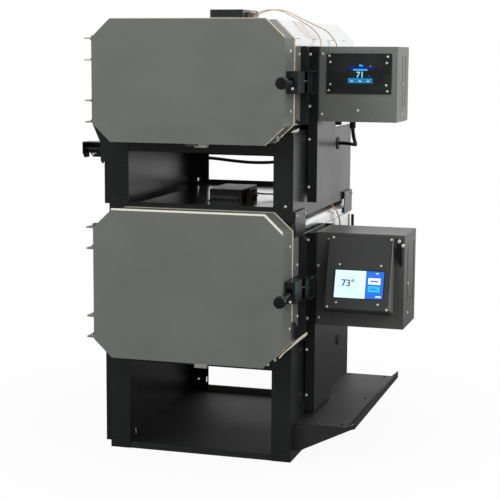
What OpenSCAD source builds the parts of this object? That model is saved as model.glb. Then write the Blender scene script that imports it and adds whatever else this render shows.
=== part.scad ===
// Two front-opening heat treat ovens stacked on a two-tier steel stand.
// Every oven has an octagonal shell, a brick-lined chamber, a side-hinged door
// with a lever latch, and a control box bolted to a cable duct on its right.
// X runs to the right, Y to the back and Z up. Millimetres.

/* [Ovens] */
// Outside width of each oven and door
body_w = 406; // [380:1:440]
// Depth of the oven body behind the door
body_d = 536; // [528:1:600]
// Width of the firing chamber
chamber_w = 229; // [200:1:240]
// Depth of the firing chamber
chamber_d = 457; // [400:1:460]
// Height of the lower chamber
lower_chamber_h = 165; // [140:1:190]
// Height of the upper chamber
upper_chamber_h = 104; // [90:1:130]
// Thickness of roof and floor, from the chamber to the shell
roof_t = 72; // [70:1:80]
// Width of the cut corners
cut_w = 39.5; // [34:0.5:44]
// Height of the cut corners
cut_h = 37.5; // [34:0.5:44]
// Thickness of a firebrick
brick_t = 64; // [60:1:66]
// Sheet thickness of shells and doors
sheet = 1.5; // [1.2:0.1:2]
// Height of the bright strip at the top of each side, above the grey side cover
bright_strip = 16; // [12:1:20]
// Joint between neighbouring bricks and plates
joint = 0.05; // [0.04:0.01:0.3]

/* [Doors] */
// Thickness of a door, gasket included
door_t = 81.7; // [80:0.1:90]
// Gap between the closed door's gasket and the body
door_gap = 0.3; // [0.2:0.1:0.5]
// Depth of the skin's bent side flanges
skin_flange = 72; // [60:1:74]
// Thickness of the ceramic board behind the skin
board_t = 5; // [4:0.5:7]
// How far the lower door's board stands out past the skin
lower_board_lip = 5.5; // [2:0.5:7]
// How far the upper door's board stands out past the skin
upper_board_lip = 1.2; // [0.5:0.1:3]
// Thickness of the gasket board on the back of the door
gasket_t = 4; // [3:0.5:5]
// Width of the gasket board round the door brick
gasket_w = 30; // [24:1:34]

/* [Hinges] */
// Distance of the hinge pins outside the body's left side
pin_out = 11; // [10:0.5:14]
// Distance of the hinge pins behind the door's front
pin_back = 40; // [34:1:46]
// Diameter of the hinge pins
pin_d = 8; // [6:0.5:9]
// Radial clearance of the door ears on the pins
pin_fit = 0.08; // [0.04:0.01:0.1]
// Thickness of a hinge ear
ear_t = 2; // [1.5:0.1:2.5]
// Reach of the ears past the body's left side
ear_out = 21.5; // [20:0.5:26]
// Height between the two ears of a door bracket
ear_span = 46; // [40:1:52]
// Vertical gap between nested ears
ear_gap = 0.6; // [0.4:0.1:1]
// Distance from the door's top and bottom to the middle of each hinge
hinge_inset = 61; // [58:0.5:70]

/* [Latch] */
// Width of the latch housing
latch_w = 23; // [21:1:26]
// Height of the latch housing
latch_h = 44; // [40:1:50]
// Sheet thickness of the latch housing and strike
latch_sheet = 2; // [1.5:0.1:2.5]
// Distance of the housing's face behind the door's front
latch_y = 15; // [13:1:18]
// Depth of the latch housing
latch_d = 57; // [54:1:60]
// Diameter of the knob
knob_d = 24; // [20:1:28]
// Length of the knob
knob_l = 26; // [22:1:30]
// Reach of the knob's face in front of the door
knob_reach = 66; // [60:1:72]
// Diameter of the lever's shaft
shaft_d = 10; // [8:0.5:12]
// Diameter of the strike pin
strike_d = 5; // [4:0.5:6]
// Distance of the strike pin behind the door's front
strike_y = 86; // [84:1:90]

/* [Stand] */
// Distance of the stand's front behind the doors' front
stand_y = 85; // [83:1:90]
// How far the stand's rear flanges stand out behind the ovens
stand_over = 2; // [1:0.5:8]
// How far the stand's side panels stand in from the ovens' sides
stand_in = 2; // [1.5:0.5:4]
// Thickness of the stand's sheet
stand_sheet = 2; // [1.5:0.1:2.5]
// Width of the right front flanges
right_post = 42; // [36:1:50]
// Width of the left front flanges
left_post = 44; // [36:1:50]
// Height of the lower side panels
lower_side_h = 230; // [220:1:240]
// Height of the lower oven's underside above the floor
lower_oven_z = 217; // [205:1:230]
// Gap between the lower oven's roof and the upper oven's floor
bay_gap = 140; // [130:1:170]
// Drop of the upper tier's side panels below the lower oven's roof
side_drop = 18; // [14:1:22]
// Rise of the upper side panels above the upper oven's underside
side_rise = 15; // [12:1:18]
// Height of the tray's lip
tray_lip = 14; // [10:1:20]
// Height of the front top rails
rail_h = 24; // [18:1:30]
// Half width of the rear windows
window_half = 155; // [140:1:165]
// Height of the upper rear window's sill above the lower oven's roof
sill_up = 12; // [8:1:20]
// Clearance between the ovens' cut corners and their cradles
seat_gap = 0.1; // [0.05:0.05:1]

/* [Ducts] */
// Width of the cable ducts
duct_w = 22; // [20:1:26]
// Distance of the ducts' face behind the doors' front
duct_y = 188; // [180:1:195]
// Depth of the cable ducts
duct_d = 168; // [140:1:180]
// Height of the lower duct's end above the floor
lower_duct_z = 86; // [60:1:100]
// Height of the upper duct's end above the lower oven's roof
upper_duct_up = 11; // [6:1:16]
// Drop of the ducts' tops below the ovens' roofs
duct_drop = 52.5; // [48:0.5:58]
// Distance of the terminal guards' face behind the doors' front
guard_y = 121; // [115:1:126]
// Width of the terminal guards' front flange
guard_w = 16; // [12:1:18]

/* [Side shelf] */
// Height of the shelf plate
shelf_z = 78; // [60:1:82]
// Width of the shelf plate
shelf_w = 115; // [90:1:140]
// Distance of the shelf's front behind the doors' front
shelf_y = 112; // [105:1:125]
// Depth of the shelf
shelf_d = 490; // [400:1:500]
// Run and rise of the shelf's bent-up lip
shelf_lip = 14; // [10:1:18]
// Height of the gussets at the wall
gusset_h = 62; // [50:1:70]

/* [Control boxes] */
// Width of the upper control box
upper_box_w = 164; // [150:1:180]
// Height of the upper control box
upper_box_h = 155; // [140:1:170]
// Depth of the upper control box
upper_box_d = 112; // [90:1:125]
// Width of the lower control box
lower_box_w = 187; // [170:1:200]
// Height of the lower control box
lower_box_h = 199; // [180:1:210]
// Depth of the lower control box
lower_box_d = 134; // [110:1:140]
// Distance of the control boxes' face behind the doors' front
box_y = 199; // [196:1:210]
// Width of the upper display panel
panel_w = 136; // [120:1:140]
// Height of the upper display panel
panel_h = 83; // [76:1:90]
// Width of the lower display housing
wedge_w = 136; // [120:1:150]
// Height of the lower display housing
wedge_h = 156; // [140:1:165]
// How far the lower display housing stands out at its foot
wedge_out = 46; // [30:1:50]

/* [Thermocouples] */
// Width of the roof covers
cover_w = 74; // [60:1:90]
// Depth of the roof covers
cover_d = 100; // [80:1:120]
// Height of the roof covers
cover_h = 29; // [24:1:34]
// Distance of the roof covers behind the doors' front
cover_y = 346; // [300:1:380]
// Distance of the covers' middle to the left of the ovens' middle
cover_x = 26; // [0:1:60]
// Diameter of the thermocouple leads
lead_d = 3; // [2.5:0.1:4]

/* [Power cord] */
// Diameter of the power cord
cord_d = 8; // [7:0.5:9]

/* [Hidden] */
$fn = 48;

LOWER = 0;
UPPER = 1;
grey = "#70726d";
black = "#232425";
bright = "#c9cccd";
cream = "#e6dcc2";
brick_colour = "#e9e0cc";
steel = "#a9abab";

// Heights of both ovens, worked up from the floor
oven_h = [lower_chamber_h + 2 * roof_t, upper_chamber_h + 2 * roof_t];
oven_z = [lower_oven_z, lower_oven_z + oven_h[LOWER] + bay_gap];
chamber_h = [lower_chamber_h, upper_chamber_h];
board_lip = [lower_board_lip, upper_board_lip];
roof_z = [oven_z[LOWER] + oven_h[LOWER], oven_z[UPPER] + oven_h[UPPER]];
mid_z = [oven_z[LOWER] + oven_h[LOWER] / 2, oven_z[UPPER] + oven_h[UPPER] / 2];

body_y = door_t + door_gap;
back_y = body_y + body_d;
half_w = body_w / 2;
half_stand = half_w - stand_in;
stand_back = back_y + stand_over;
upper_side_z = roof_z[LOWER] - side_drop;
upper_side_top = oven_z[UPPER] + side_rise;
origin_y = (stand_y + stand_back) / 2;

pin_x = -half_w - pin_out;
hinge_z = [for (i = [0, 1]) [oven_z[i] + hinge_inset, roof_z[i] - hinge_inset]];

latch_x = half_w + latch_w / 2;
duct_z = [lower_duct_z, roof_z[LOWER] + upper_duct_up];
duct_top = [roof_z[LOWER] - duct_drop, roof_z[UPPER] - duct_drop];
duct_x = half_w + duct_w;
guard_z = [oven_z[LOWER] + cut_h, oven_z[UPPER] + cut_h];

box_w = [lower_box_w, upper_box_w];
box_h = [lower_box_h, upper_box_h];
box_d = [lower_box_d, upper_box_d];

// The whole model stands with its origin under the middle of the stand
module place() translate([0, -origin_y, 0]) children();

// A flat outline drawn in X and Z, made solid from y0 to y1
module along_y(y0, y1) translate([0, y1, 0]) rotate([90, 0, 0]) linear_extrude(y1 - y0) children();

// A flat outline drawn in Y and Z, made solid from x0 to x1
module along_x(x0, x1) translate([x0, 0, 0]) rotate([90, 0, 90]) linear_extrude(x1 - x0) children();

// A box between two corners
module slab(a, b) translate(a) cube(b - a);

// A round bar along X, Y or Z from a point
module bar_x(p, d, l) translate(p) rotate([0, 90, 0]) cylinder(d = d, h = l);
module bar_y(p, d, l) translate(p) rotate([-90, 0, 0]) cylinder(d = d, h = l);
module bar_z(p, d, l) translate(p) cylinder(d = d, h = l);

// Corner cut of the octagon after all its sides move in by t
function inner_cut(a, b, t) = [
    a + t * (norm([a, b]) - a - b) / b,
    b + t * (norm([a, b]) - a - b) / a
];

// Octagon of an oven, drawn in X and Z, with all its sides moved in by t
module octagon(i, t = 0) {
    c = inner_cut(cut_w, cut_h, t);
    w = half_w - t;
    z0 = oven_z[i] + t;
    z1 = roof_z[i] - t;
    polygon([
        [-w + c[0], z0], [w - c[0], z0], [w, z0 + c[1]], [w, z1 - c[1]],
        [w - c[0], z1], [-w + c[0], z1], [-w, z1 - c[1]], [-w, z0 + c[1]]
    ]);
}

// Ovens

// Bright wrapper of the oven, open at both ends
module shell(i) color(bright) along_y(body_y + sheet, back_y - sheet) difference() {
    octagon(i);
    octagon(i, sheet);
}

// Grey front ring in four plates, back panel and the two grey side covers
module end_frames(i) color(grey) {
    mouth = chamber_w / 2 + brick_t / 2;
    mouth_z = chamber_h[i] / 2 + brick_t / 2;
    cover_z0 = oven_z[i] + cut_h + 2;
    cover_z1 = roof_z[i] - cut_h - bright_strip;
    for (side = [-1, 1]) along_y(body_y, body_y + sheet) {
        // Plate above or below the mouth
        intersection() {
            octagon(i);
            translate([-half_w, mid_z[i] + (side > 0 ? mouth_z : -oven_h[i])])
                square([body_w, oven_h[i] - mouth_z]);
        }
        // Plate beside the mouth
        intersection() {
            octagon(i);
            translate([side > 0 ? mouth : -half_w, mid_z[i] - mouth_z + joint])
                square([half_w - mouth, 2 * (mouth_z - joint)]);
        }
    }
    along_y(back_y - sheet, back_y) octagon(i);
    for (x = [-half_w - sheet, half_w])
        slab([x, body_y + 2, cover_z0], [x + sheet, back_y - 30, cover_z1]);
}

// Firebricks round the chamber, with a fibre layer between them and the shell
module lining(i) {
    cx = chamber_w / 2;
    cz = chamber_h[i] / 2;
    inner = half_w - sheet;
    c = inner_cut(cut_w, cut_h, sheet);
    z0 = oven_z[i] + sheet;
    z1 = roof_z[i] - sheet;
    y0 = body_y + sheet;
    y1 = y0 + chamber_d;
    course = chamber_d / 3;
    color(brick_colour) {
        // Floor and roof bricks in three courses, with the cut corners of the shell. The
        // hearth bricks lie between the walls.
        for (k = [0 : 2]) along_y(y0 + k * course, y0 + (k + 1) * course - joint) {
            translate([-cx, z0]) square([chamber_w, mid_z[i] - cz - z0]);
            for (s = [-1, 1]) polygon([
                [s * (cx + joint), z0], [s * (inner - c[0]), z0], [s * inner, z0 + c[1]],
                [s * inner, mid_z[i] - cz], [s * (cx + joint), mid_z[i] - cz]
            ]);
            polygon([
                [-inner + c[0], z1], [inner - c[0], z1], [inner, z1 - c[1]],
                [inner, mid_z[i] + cz], [-inner, mid_z[i] + cz], [-inner, z1 - c[1]]
            ]);
        }
        for (x = [-cx - brick_t, cx])
            slab([x, y0, mid_z[i] - cz + joint], [x + brick_t, y1 - joint, mid_z[i] + cz - joint]);
        along_y(y1, back_y - sheet) octagon(i, sheet);
    }
    color(cream) for (s = [-1, 1])
        slab([s > 0 ? cx + brick_t + joint : -inner, y0, mid_z[i] - cz + joint],
             [s > 0 ? inner : -cx - brick_t - joint, y1 - joint, mid_z[i] + cz - joint]);
}

// One hairpin heating element against a chamber wall
module element(i, s, z, pitch) {
    element_d = 7;
    x = s * (chamber_w / 2 - element_d / 2);
    y0 = body_y + 30;
    y1 = body_y + chamber_d - 30;
    for (k = [0, 1]) bar_y([x, y0, z + k * pitch], element_d, y1 - y0);
    bar_z([x, y1, z], element_d, pitch);
}

// Two hairpins on each side wall
module elements(i) color("#8f8a80") {
    pitch = chamber_h[i] / 5;
    for (s = [-1, 1], k = [-1, 1])
        element(i, s, mid_z[i] + k * chamber_h[i] / 4 - pitch / 2, pitch);
}

// Roof cover over the thermocouple's head, open at its right end
module probe_cover(i) color(black) {
    t = stand_sheet / 2;
    x0 = -cover_x - cover_w / 2;
    x1 = x0 + cover_w;
    z0 = roof_z[i];
    difference() {
        slab([x0, cover_y, z0], [x1, cover_y + cover_d, z0 + cover_h]);
        slab([x0 + t, cover_y + t, z0 - 1], [x1 + 1, cover_y + cover_d - t, z0 + cover_h - t]);
    }
    // Foot flanges along the front and back
    for (y = [cover_y - 12, cover_y + cover_d])
        slab([x0, y, z0], [x1, y + 12, z0 + t]);
}

// Ceramic head block and the sheathed probe down into the chamber
module probe(i) {
    x1 = -cover_x + cover_w / 2;
    y = cover_y + cover_d / 2;
    z = roof_z[i];
    color("#6e675c") difference() {
        slab([x1 - 34, y - 22, z], [x1 + 20, y + 22, z + 20]);
        for (s = [-1, 1])
            bar_x([x1 + 4, y + s * 9, z + 13], 4, 17);
    }
    for (s = [-1, 1]) color(steel) bar_z([x1 - 10, y + s * 9, z + 20], 6, 3);
}

// Points of the thermocouple leads, from the head block to the cable duct
lead_x = -cover_x + cover_w / 2 + 20;
lead_y = cover_y + cover_d / 2 + 9;
lead_end = [
    [half_w + 3, lead_y - 29, -32], [half_w + 13, lead_y - 45, -44], [half_w + 12, lead_y - 55, -53],
    [half_w + 11, lead_y - 61, -74], [half_w + 11, lead_y - 65, -100]
];
lead_route = [
    concat([
        [lead_x, lead_y, 13], [lead_x + 36, lead_y - 2, 8], [lead_x + 79, lead_y - 4, 7],
        [half_w - 53, lead_y - 6, 8], [half_w - 20, lead_y - 9, -2]
    ], lead_end),
    concat([
        [lead_x, lead_y, 13], [lead_x + 9, lead_y, 22], [lead_x + 29, lead_y - 1, 27],
        [lead_x + 62, lead_y - 5, 26], [lead_x + 104, lead_y - 10, 16],
        [half_w - 39, lead_y - 14, 6], [half_w - 19, lead_y - 18, -8]
    ], lead_end)
];

// Rounds one step off the corners of a route
function smoothed(p) = [
    p[0],
    for (k = [0 : len(p) - 2]) each [p[k] * 0.75 + p[k + 1] * 0.25, p[k] * 0.25 + p[k + 1] * 0.75],
    p[len(p) - 1]
];

// A round tube along a route, one ring of points at each of its points
module tube(p, d, sides = 8) {
    n = len(p);
    dir = [for (k = [0 : n - 1]) let (v = p[min(k + 1, n - 1)] - p[max(k - 1, 0)]) v / norm(v)];
    up = [for (k = [0 : n - 1]) abs(dir[k].z) > 0.9 ? [0, 1, 0] : [0, 0, 1]];
    side_ref = [for (k = [0 : n - 1]) cross(dir[k], up[0])];
    rings = [for (k = [0 : n - 1])
        let (u = side_ref[k] / norm(side_ref[k]), v = cross(u, dir[k]))
        for (a = [0 : sides - 1]) p[k] + d / 2 * (cos(a * 360 / sides) * u + sin(a * 360 / sides) * v)];
    walls = [for (k = [0 : n - 2], a = [0 : sides - 1])
        let (b = (a + 1) % sides)
        each [[k * sides + a, k * sides + b, (k + 1) * sides + b],
              [k * sides + a, (k + 1) * sides + b, (k + 1) * sides + a]]];
    ends = [for (a = [1 : sides - 2]) each
        [[0, a + 1, a], [(n - 1) * sides, (n - 1) * sides + a, (n - 1) * sides + a + 1]]];
    polyhedron(points = rings, faces = [for (f = concat(walls, ends)) [f[0], f[2], f[1]]]);
}

// Lead from the head block over the roof's edge to the top of the duct
module probe_lead(i) color("#e3d3c8")
    tube(smoothed([for (q = lead_route[i]) q + [0, 0, roof_z[i]]]), lead_d);

// Black angle over the element terminals on the oven's right side
module terminal_guard(i) color(black) {
    x = half_w + sheet;
    z0 = guard_z[i];
    z1 = duct_top[i];
    notch = 8;
    slab([x, guard_y, z0], [x + stand_sheet, duct_y, z1]);
    along_y(guard_y, guard_y + stand_sheet) polygon([
        [x, z0], [x + guard_w, z0], [x + guard_w, z1 - notch],
        [x + guard_w - notch / 2, z1], [x, z1]
    ]);
}

// Doors

// Painted front plate with bent flanges on its two upright sides
module door_skin(i) color(grey) {
    z0 = oven_z[i] + cut_h;
    z1 = roof_z[i] - cut_h;
    along_y(0, sheet) octagon(i);
    for (x = [-half_w, half_w - sheet])
        slab([x, sheet, z0], [x + sheet, skin_flange, z1]);
}

// Ceramic board behind the skin, and the gasket board on the door's back
module door_boards(i) color(cream) {
    lip = board_lip[i];
    y1 = door_t - gasket_t;
    along_y(sheet, sheet + board_t) intersection() {
        octagon(i, -lip);
        translate([-half_w + sheet, oven_z[i]]) square([body_w - 2 * sheet, oven_h[i] + lip]);
    }
    along_y(y1, door_t) difference() {
        octagon(i, sheet);
        octagon(i, sheet + gasket_w);
    }
}

// Steel pan that carries the door brick, open towards the chamber
module door_pan(i) color("#60625e") {
    y0 = sheet + board_t;
    y1 = door_t - gasket_t;
    t = 2 * sheet;
    difference() {
        along_y(y0, y1) octagon(i, sheet);
        along_y(y0 + sheet, y1 + 1) octagon(i, t);
    }
    // Stop block under the middle of the door
    slab([-14, y0 + 30, oven_z[i] - 7], [14, y0 + 52, oven_z[i] + sheet]);
}

// Door brick in three pieces, with a raised field that faces the chamber
module door_brick(i) color(brick_colour) {
    y0 = 2 * sheet + board_t;
    y1 = door_t - gasket_t;
    piece = (body_w - 4 * sheet) / 3;
    field = gasket_w + 3 * sheet;
    for (k = [0 : 2]) intersection() {
        union() {
            along_y(y0, y1) octagon(i, 2 * sheet);
            along_y(y1, door_t - 0.5) octagon(i, field);
        }
        slab([-body_w / 2 + 2 * sheet + k * piece, y0, oven_z[i]],
             [-body_w / 2 + 2 * sheet + (k + 1) * piece, door_t, roof_z[i]]);
    }
}

// Height levels of the two ears of a door bracket about a hinge's middle
function door_ear_z(z) = [z - ear_span / 2, z + ear_span / 2 - ear_t];

// Channel brackets with two ears each, on the door's left side
module door_hinges(i) color(grey) for (z = hinge_z[i]) {
    levels = door_ear_z(z);
    difference() {
        for (e = levels) translate([0, 0, e]) linear_extrude(ear_t)
            polygon([
                [-half_w, 6], [-half_w - ear_out + 4, 9], [-half_w - ear_out, 14],
                [-half_w - ear_out, 50], [-half_w - ear_out + 4, 54], [-half_w, 58]
            ]);
        bar_z([pin_x, pin_back, levels[0] - 1], pin_d + 2 * pin_fit, ear_span + 2);
    }
    slab([-half_w - ear_t, 8, levels[0] + ear_t], [-half_w, 56, levels[1]]);
}

// Brackets on the body with nested ears that carry the hinge pins
module body_hinges(i) color(grey) for (z = hinge_z[i]) {
    levels = door_ear_z(z);
    low = levels[0] + ear_t + ear_gap;
    high = levels[1] - ear_t - ear_gap;
    side = -half_w - sheet;
    difference() {
        for (e = [low, high]) translate([0, 0, e]) linear_extrude(ear_t)
            polygon([
                [side, body_y + 4], [side - 3, body_y - 12], [pin_x + 6, pin_back - 6],
                [pin_x - 6, pin_back - 6], [pin_x - 8.5, pin_back],
                [pin_x - 8.5, body_y + 20], [side, body_y + 44]
            ]);
        bar_z([pin_x, pin_back, low - 1], pin_d, ear_span);
    }
    slab([side - ear_t, body_y + 6, low + ear_t], [side, body_y + 42, high]);
    // Hinge pin with a head at its top
    bar_z([pin_x, pin_back, levels[0] - 5], pin_d, ear_span + 10);
    bar_z([pin_x, pin_back, levels[1] + ear_t + ear_gap], pin_d + 4, 4);
}

// Latches

lever_pin_y = latch_y + 22;
lever_z = [mid_z[LOWER], mid_z[UPPER]];
lever_pin_d = 6;
lever_t = 12;
lever_swing = 8;
// The lower lever hangs a little lower at rest than the upper one
lever_rest = [3.5, 0];

// Folded housing on the door's right side, open at the back
module latch_housing(i) color(black) {
    x0 = half_w;
    x1 = half_w + latch_w;
    z = lever_z[i];
    reach = lever_pin_y - latch_y;
    down = shaft_d / 2 + 1 + reach * tan(lever_rest[i]);
    up = shaft_d / 2 + 1.5 + reach * tan(lever_swing);
    difference() {
        slab([x0, latch_y, z - latch_h / 2], [x1, latch_y + latch_d, z + latch_h / 2]);
        slab([x0 + latch_sheet, latch_y + latch_sheet, z - latch_h / 2 + latch_sheet],
             [x1 - latch_sheet, latch_y + latch_d + 1, z + latch_h / 2 - latch_sheet]);
        // Slot for the lever's shaft
        slab([latch_x - shaft_d / 2 - 1, latch_y - 1, z - down],
             [latch_x + shaft_d / 2 + 1, latch_y + 4, z + up]);
    }
    // Pivot pin of the lever
    bar_x([x0 + latch_sheet - 0.5, lever_pin_y, z], lever_pin_d, latch_w - 2 * latch_sheet + 1);
}

// Turns the lever and its knob to their rest about the pivot pin
module at_rest(i) translate([0, lever_pin_y, lever_z[i]]) rotate([lever_rest[i], 0, 0])
    translate([0, -lever_pin_y, 0]) children();

// Lever whose hook waits above the strike pin and drops behind it when the knob is lifted
module latch_lever(i) color(steel) at_rest(i) {
    hub = lever_pin_y + 8;
    hook_y = strike_y + strike_d / 2 + 1.5;
    end_y = hook_y + 6.5;
    tip_z = strike_d / 2 + 2.5;
    arm_z = strike_d / 2 + 9;
    x0 = latch_x - lever_t / 2;
    x1 = latch_x + lever_t / 2;
    // Hub on the pivot pin, with the shaft to the front
    difference() {
        slab([x0, lever_pin_y - 9, -9], [x1, hub, 9]);
        bar_x([latch_x - lever_t, lever_pin_y, 0], lever_pin_d + 2 * pin_fit, 2 * lever_t);
    }
    bar_y([latch_x, -knob_reach + knob_l / 2, 0], shaft_d, lever_pin_y - 8 + knob_reach - knob_l / 2);
    // Arm, and the hook's prong at its end
    along_x(x0, x1) {
        polygon([
            [hub + joint, 3], [end_y, arm_z], [end_y, arm_z + 4], [hub + 15, arm_z + 4], [hub + joint, 9]
        ]);
        polygon([
            [hook_y, tip_z + 0.5], [hook_y + 2, tip_z], [end_y, tip_z + 1.5],
            [end_y, arm_z - joint], [hook_y, arm_z - 1.2 - joint]
        ]);
    }
}

// Turned knob on the lever's shaft
module latch_knob(i) color("#161616") {
    l = knob_l;
    r = knob_d / 2;
    neck = shaft_d / 2 + 1.5;
    at_rest(i) translate([latch_x, -knob_reach, 0]) rotate([-90, 0, 0]) rotate_extrude()
        difference() {
            union() {
                polygon([[0, 0], [r - 2.5, 0], [r, 2.5], [r, l * 0.45], [neck, l], [0, l]]);
                translate([r - 2.5, 2.5]) circle(r = 2.5, $fn = 32);
            }
            translate([-1, l / 2 - joint]) square([1 + shaft_d / 2 + joint, l]);
        }
}

// Strike bracket on the oven's side, with the pin that the hook drops behind
module strike(i) {
    z = lever_z[i];
    base_y = guard_y - latch_sheet;
    x0 = half_w + sheet + 0.5;
    x1 = x0 + 36;
    cheek_x = half_w + latch_w + 3;
    y0 = strike_y - 7;
    h = latch_h / 2;
    color(black) {
        slab([x0, base_y, z - h], [x1, guard_y - joint, z + h]);
        slab([x0, y0, z + h - latch_sheet], [x1, base_y - joint, z + h]);
        slab([x0, y0, z - h], [x1, base_y - joint, z - h + latch_sheet]);
        for (x = [x0, cheek_x])
            slab([x, y0, z - h + latch_sheet + joint],
                 [x + latch_sheet, base_y - joint, z + h - latch_sheet - joint]);
    }
    pin_l = cheek_x - x0 - latch_sheet - 2 * joint;
    color(steel) bar_x([x0 + latch_sheet + joint, strike_y, z], strike_d, pin_l);
}

// Control boxes

box_x = duct_x;

// Folded case with its back open towards the duct's brackets
module control_case(i) {
    z1 = duct_top[i];
    z0 = z1 - box_h[i];
    x1 = box_x + box_w[i];
    y1 = box_y + box_d[i];
    t = sheet;
    recess = 30;
    color(i == UPPER ? "#6a6b66" : "#4c4e4c") {
        difference() {
            slab([box_x, box_y, z0], [x1, y1, z1]);
            slab([box_x + t, box_y + t, z0 + t], [x1 - t, y1 - t, z1 - t]);
            // Stepped seam of the rear cover on the right side
            slab([x1 - t / 2, box_y + recess, z0 + box_h[i] * 0.2], [x1 + 1, y1 - 18, z1 - box_h[i] * 0.12]);
            // Cord hole in the underside
            if (i == UPPER) bar_z([cord_exit.x, cord_exit.y, z0 - 1], cord_d, 2 * t + 1);
        }
    }
}

// Flat display panel of the upper control box
module upper_display_panel() color("#1b1c1d") {
    x0 = box_x + 16;
    z1 = duct_top[UPPER] - 14;
    translate([x0, box_y - 2, z1 - panel_h]) along_y(0, 2)
        hull() for (x = [3, panel_w - 3], z = [3, panel_h - 3]) translate([x, z]) circle(r = 3, $fn = 32);
}

screen_up_w = 54;
screen_up_h = 40;

// Small colour display in the upper panel
module upper_display_screen() color("#183048") {
    x0 = box_x + 61;
    z1 = duct_top[UPPER] - 35;
    slab([x0, box_y - 2.8, z1 - screen_up_h], [x0 + screen_up_w, box_y - 2, z1]);
}

wedge_x = box_x + 27;
wedge_top = duct_top[LOWER] - 6;
wedge_tilt = atan(wedge_out / wedge_h);

// Wedge-shaped display housing of the lower control box
module lower_display_housing() color("#2a2b2c") {
    x0 = wedge_x;
    difference() {
        along_x(x0, x0 + wedge_w) polygon([
            [box_y, wedge_top], [box_y - 3, wedge_top], [box_y - wedge_out, wedge_top - wedge_h],
            [box_y - wedge_out + 4, wedge_top - wedge_h - 6], [box_y, wedge_top - wedge_h - 16]
        ]);
        along_x(x0 + sheet, x0 + wedge_w - sheet) polygon([
            [box_y + 1, wedge_top - 12], [box_y - 4, wedge_top - 12],
            [box_y - wedge_out + 6, wedge_top - wedge_h + 4], [box_y + 1, wedge_top - wedge_h - 8]
        ]);
    }
    // Triangular side bracket beside the housing's top corner
    along_x(x0 + wedge_w + 5, x0 + wedge_w + 7) polygon([
        [box_y, wedge_top - 2], [box_y - 9, wedge_top - 20], [box_y, wedge_top - 58]
    ]);
}

screen_low_w = 105;
screen_low_h = 60;

// Touch display in the sloping face
module lower_display_screen() color("#cfe6ea") {
    translate([wedge_x + 15, box_y - 3, wedge_top]) rotate([-wedge_tilt, 0, 0])
        slab([0, -0.9, -70 - screen_low_h], [screen_low_w, -0.05, -70]);
}

// Stand

// Side panel with a front flange, a rear flange and a foot
module side_panel(s, i, z0, z1, post) color(black) difference() {
    t = stand_sheet;
    x1 = s * half_stand;
    x0 = s * (half_stand - t);
    xf = s * (half_stand - post);
    union() {
        difference() {
            slab([min(x0, x1), stand_y, z0], [max(x0, x1), stand_back, z1]);
            // Round cord hole near the back of the right panels
            if (s > 0) bar_x([x0 - 1, grommet_y[i], z1 - grommet_down[i]], grommet_d, t + 2);
        }
        slab([min(xf, x0), stand_y, z0], [max(xf, x0), stand_y + t, z1]);
        slab([min(s * (half_stand - 20), x0), stand_back - t, z0],
             [max(s * (half_stand - 20), x0), stand_back, z1]);
    }
    // The flanges follow the ovens' cut corners
    for (k = [LOWER, UPPER]) along_y(stand_y - 1, stand_back + 1) octagon(k, -seat_gap);
}

// Tray of the lower bay, with its lips bent up at the front and back
module lower_tray() color(black) {
    t = stand_sheet;
    x = half_stand - t;
    y0 = stand_y + t;
    y1 = stand_back - 3 * t;
    slab([-x, y0, 0], [x, y1, t]);
    for (y = [y0, y1 - t]) slab([-x, y, t], [x, y + t, tray_lip]);
}

// Frame of four strips round a window
module window_frame(y, z0, z1, w0, w1) {
    x = half_stand - stand_sheet;
    along_y(y, y + stand_sheet) {
        translate([-x, z0]) square([2 * x, w0 - z0]);
        translate([-x, w1]) square([2 * x, z1 - w1]);
        for (x0 = [-x, window_half])
            translate([x0, w0 + joint]) square([x - window_half, w1 - w0 - 2 * joint]);
    }
}

// Front top rail and rear window frame of the lower tier
module lower_frames() color(black) {
    top = oven_z[LOWER];
    y = stand_y + stand_sheet;
    x = half_stand - stand_sheet;
    slab([-x, y, top - rail_h], [x, y + stand_sheet, top]);
    window_frame(stand_back - 2 * stand_sheet, 0, top, tray_lip + 4, top - rail_h);
}

// Front rails and rear window frame of the upper tier
module upper_frames() color(black) {
    z0 = roof_z[LOWER];
    top = oven_z[UPPER];
    y = stand_y + stand_sheet;
    x = half_stand - stand_sheet;
    slab([-x, y, top - rail_h], [x, y + stand_sheet, top]);
    slab([-x, y, z0], [x, y + stand_sheet, z0 + sill_up - 3]);
    slab([-x, y + stand_sheet + joint, z0], [x, y + 20, z0 + stand_sheet]);
    window_frame(stand_back - 2 * stand_sheet, z0, top, z0 + sill_up, top - 67);
}

// Bent angles that hold the cut lower corners of both ovens
module cradles() color(black) for (i = [LOWER, UPPER], s = [-1, 1]) {
    t = stand_sheet;
    lean = cut_h / cut_w;
    foot = half_w - cut_w;
    xv = half_stand - t;
    zt = oven_z[i] + (xv - foot) * lean;
    l = sqrt(1 + lean * lean);
    mirror([s < 0 ? 1 : 0, 0, 0]) translate([0, 0, -seat_gap * l])
        along_y(stand_y + 2 * t, stand_back - 2 * t) polygon([
            [foot + 6, oven_z[i] + 6 * lean], [xv, zt], [xv, oven_z[i] - 5],
            [xv - t, oven_z[i] - 5], [xv - t, zt - t - t * l], [foot + 6, oven_z[i] + 6 * lean - t * l]
        ]);
}

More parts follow.
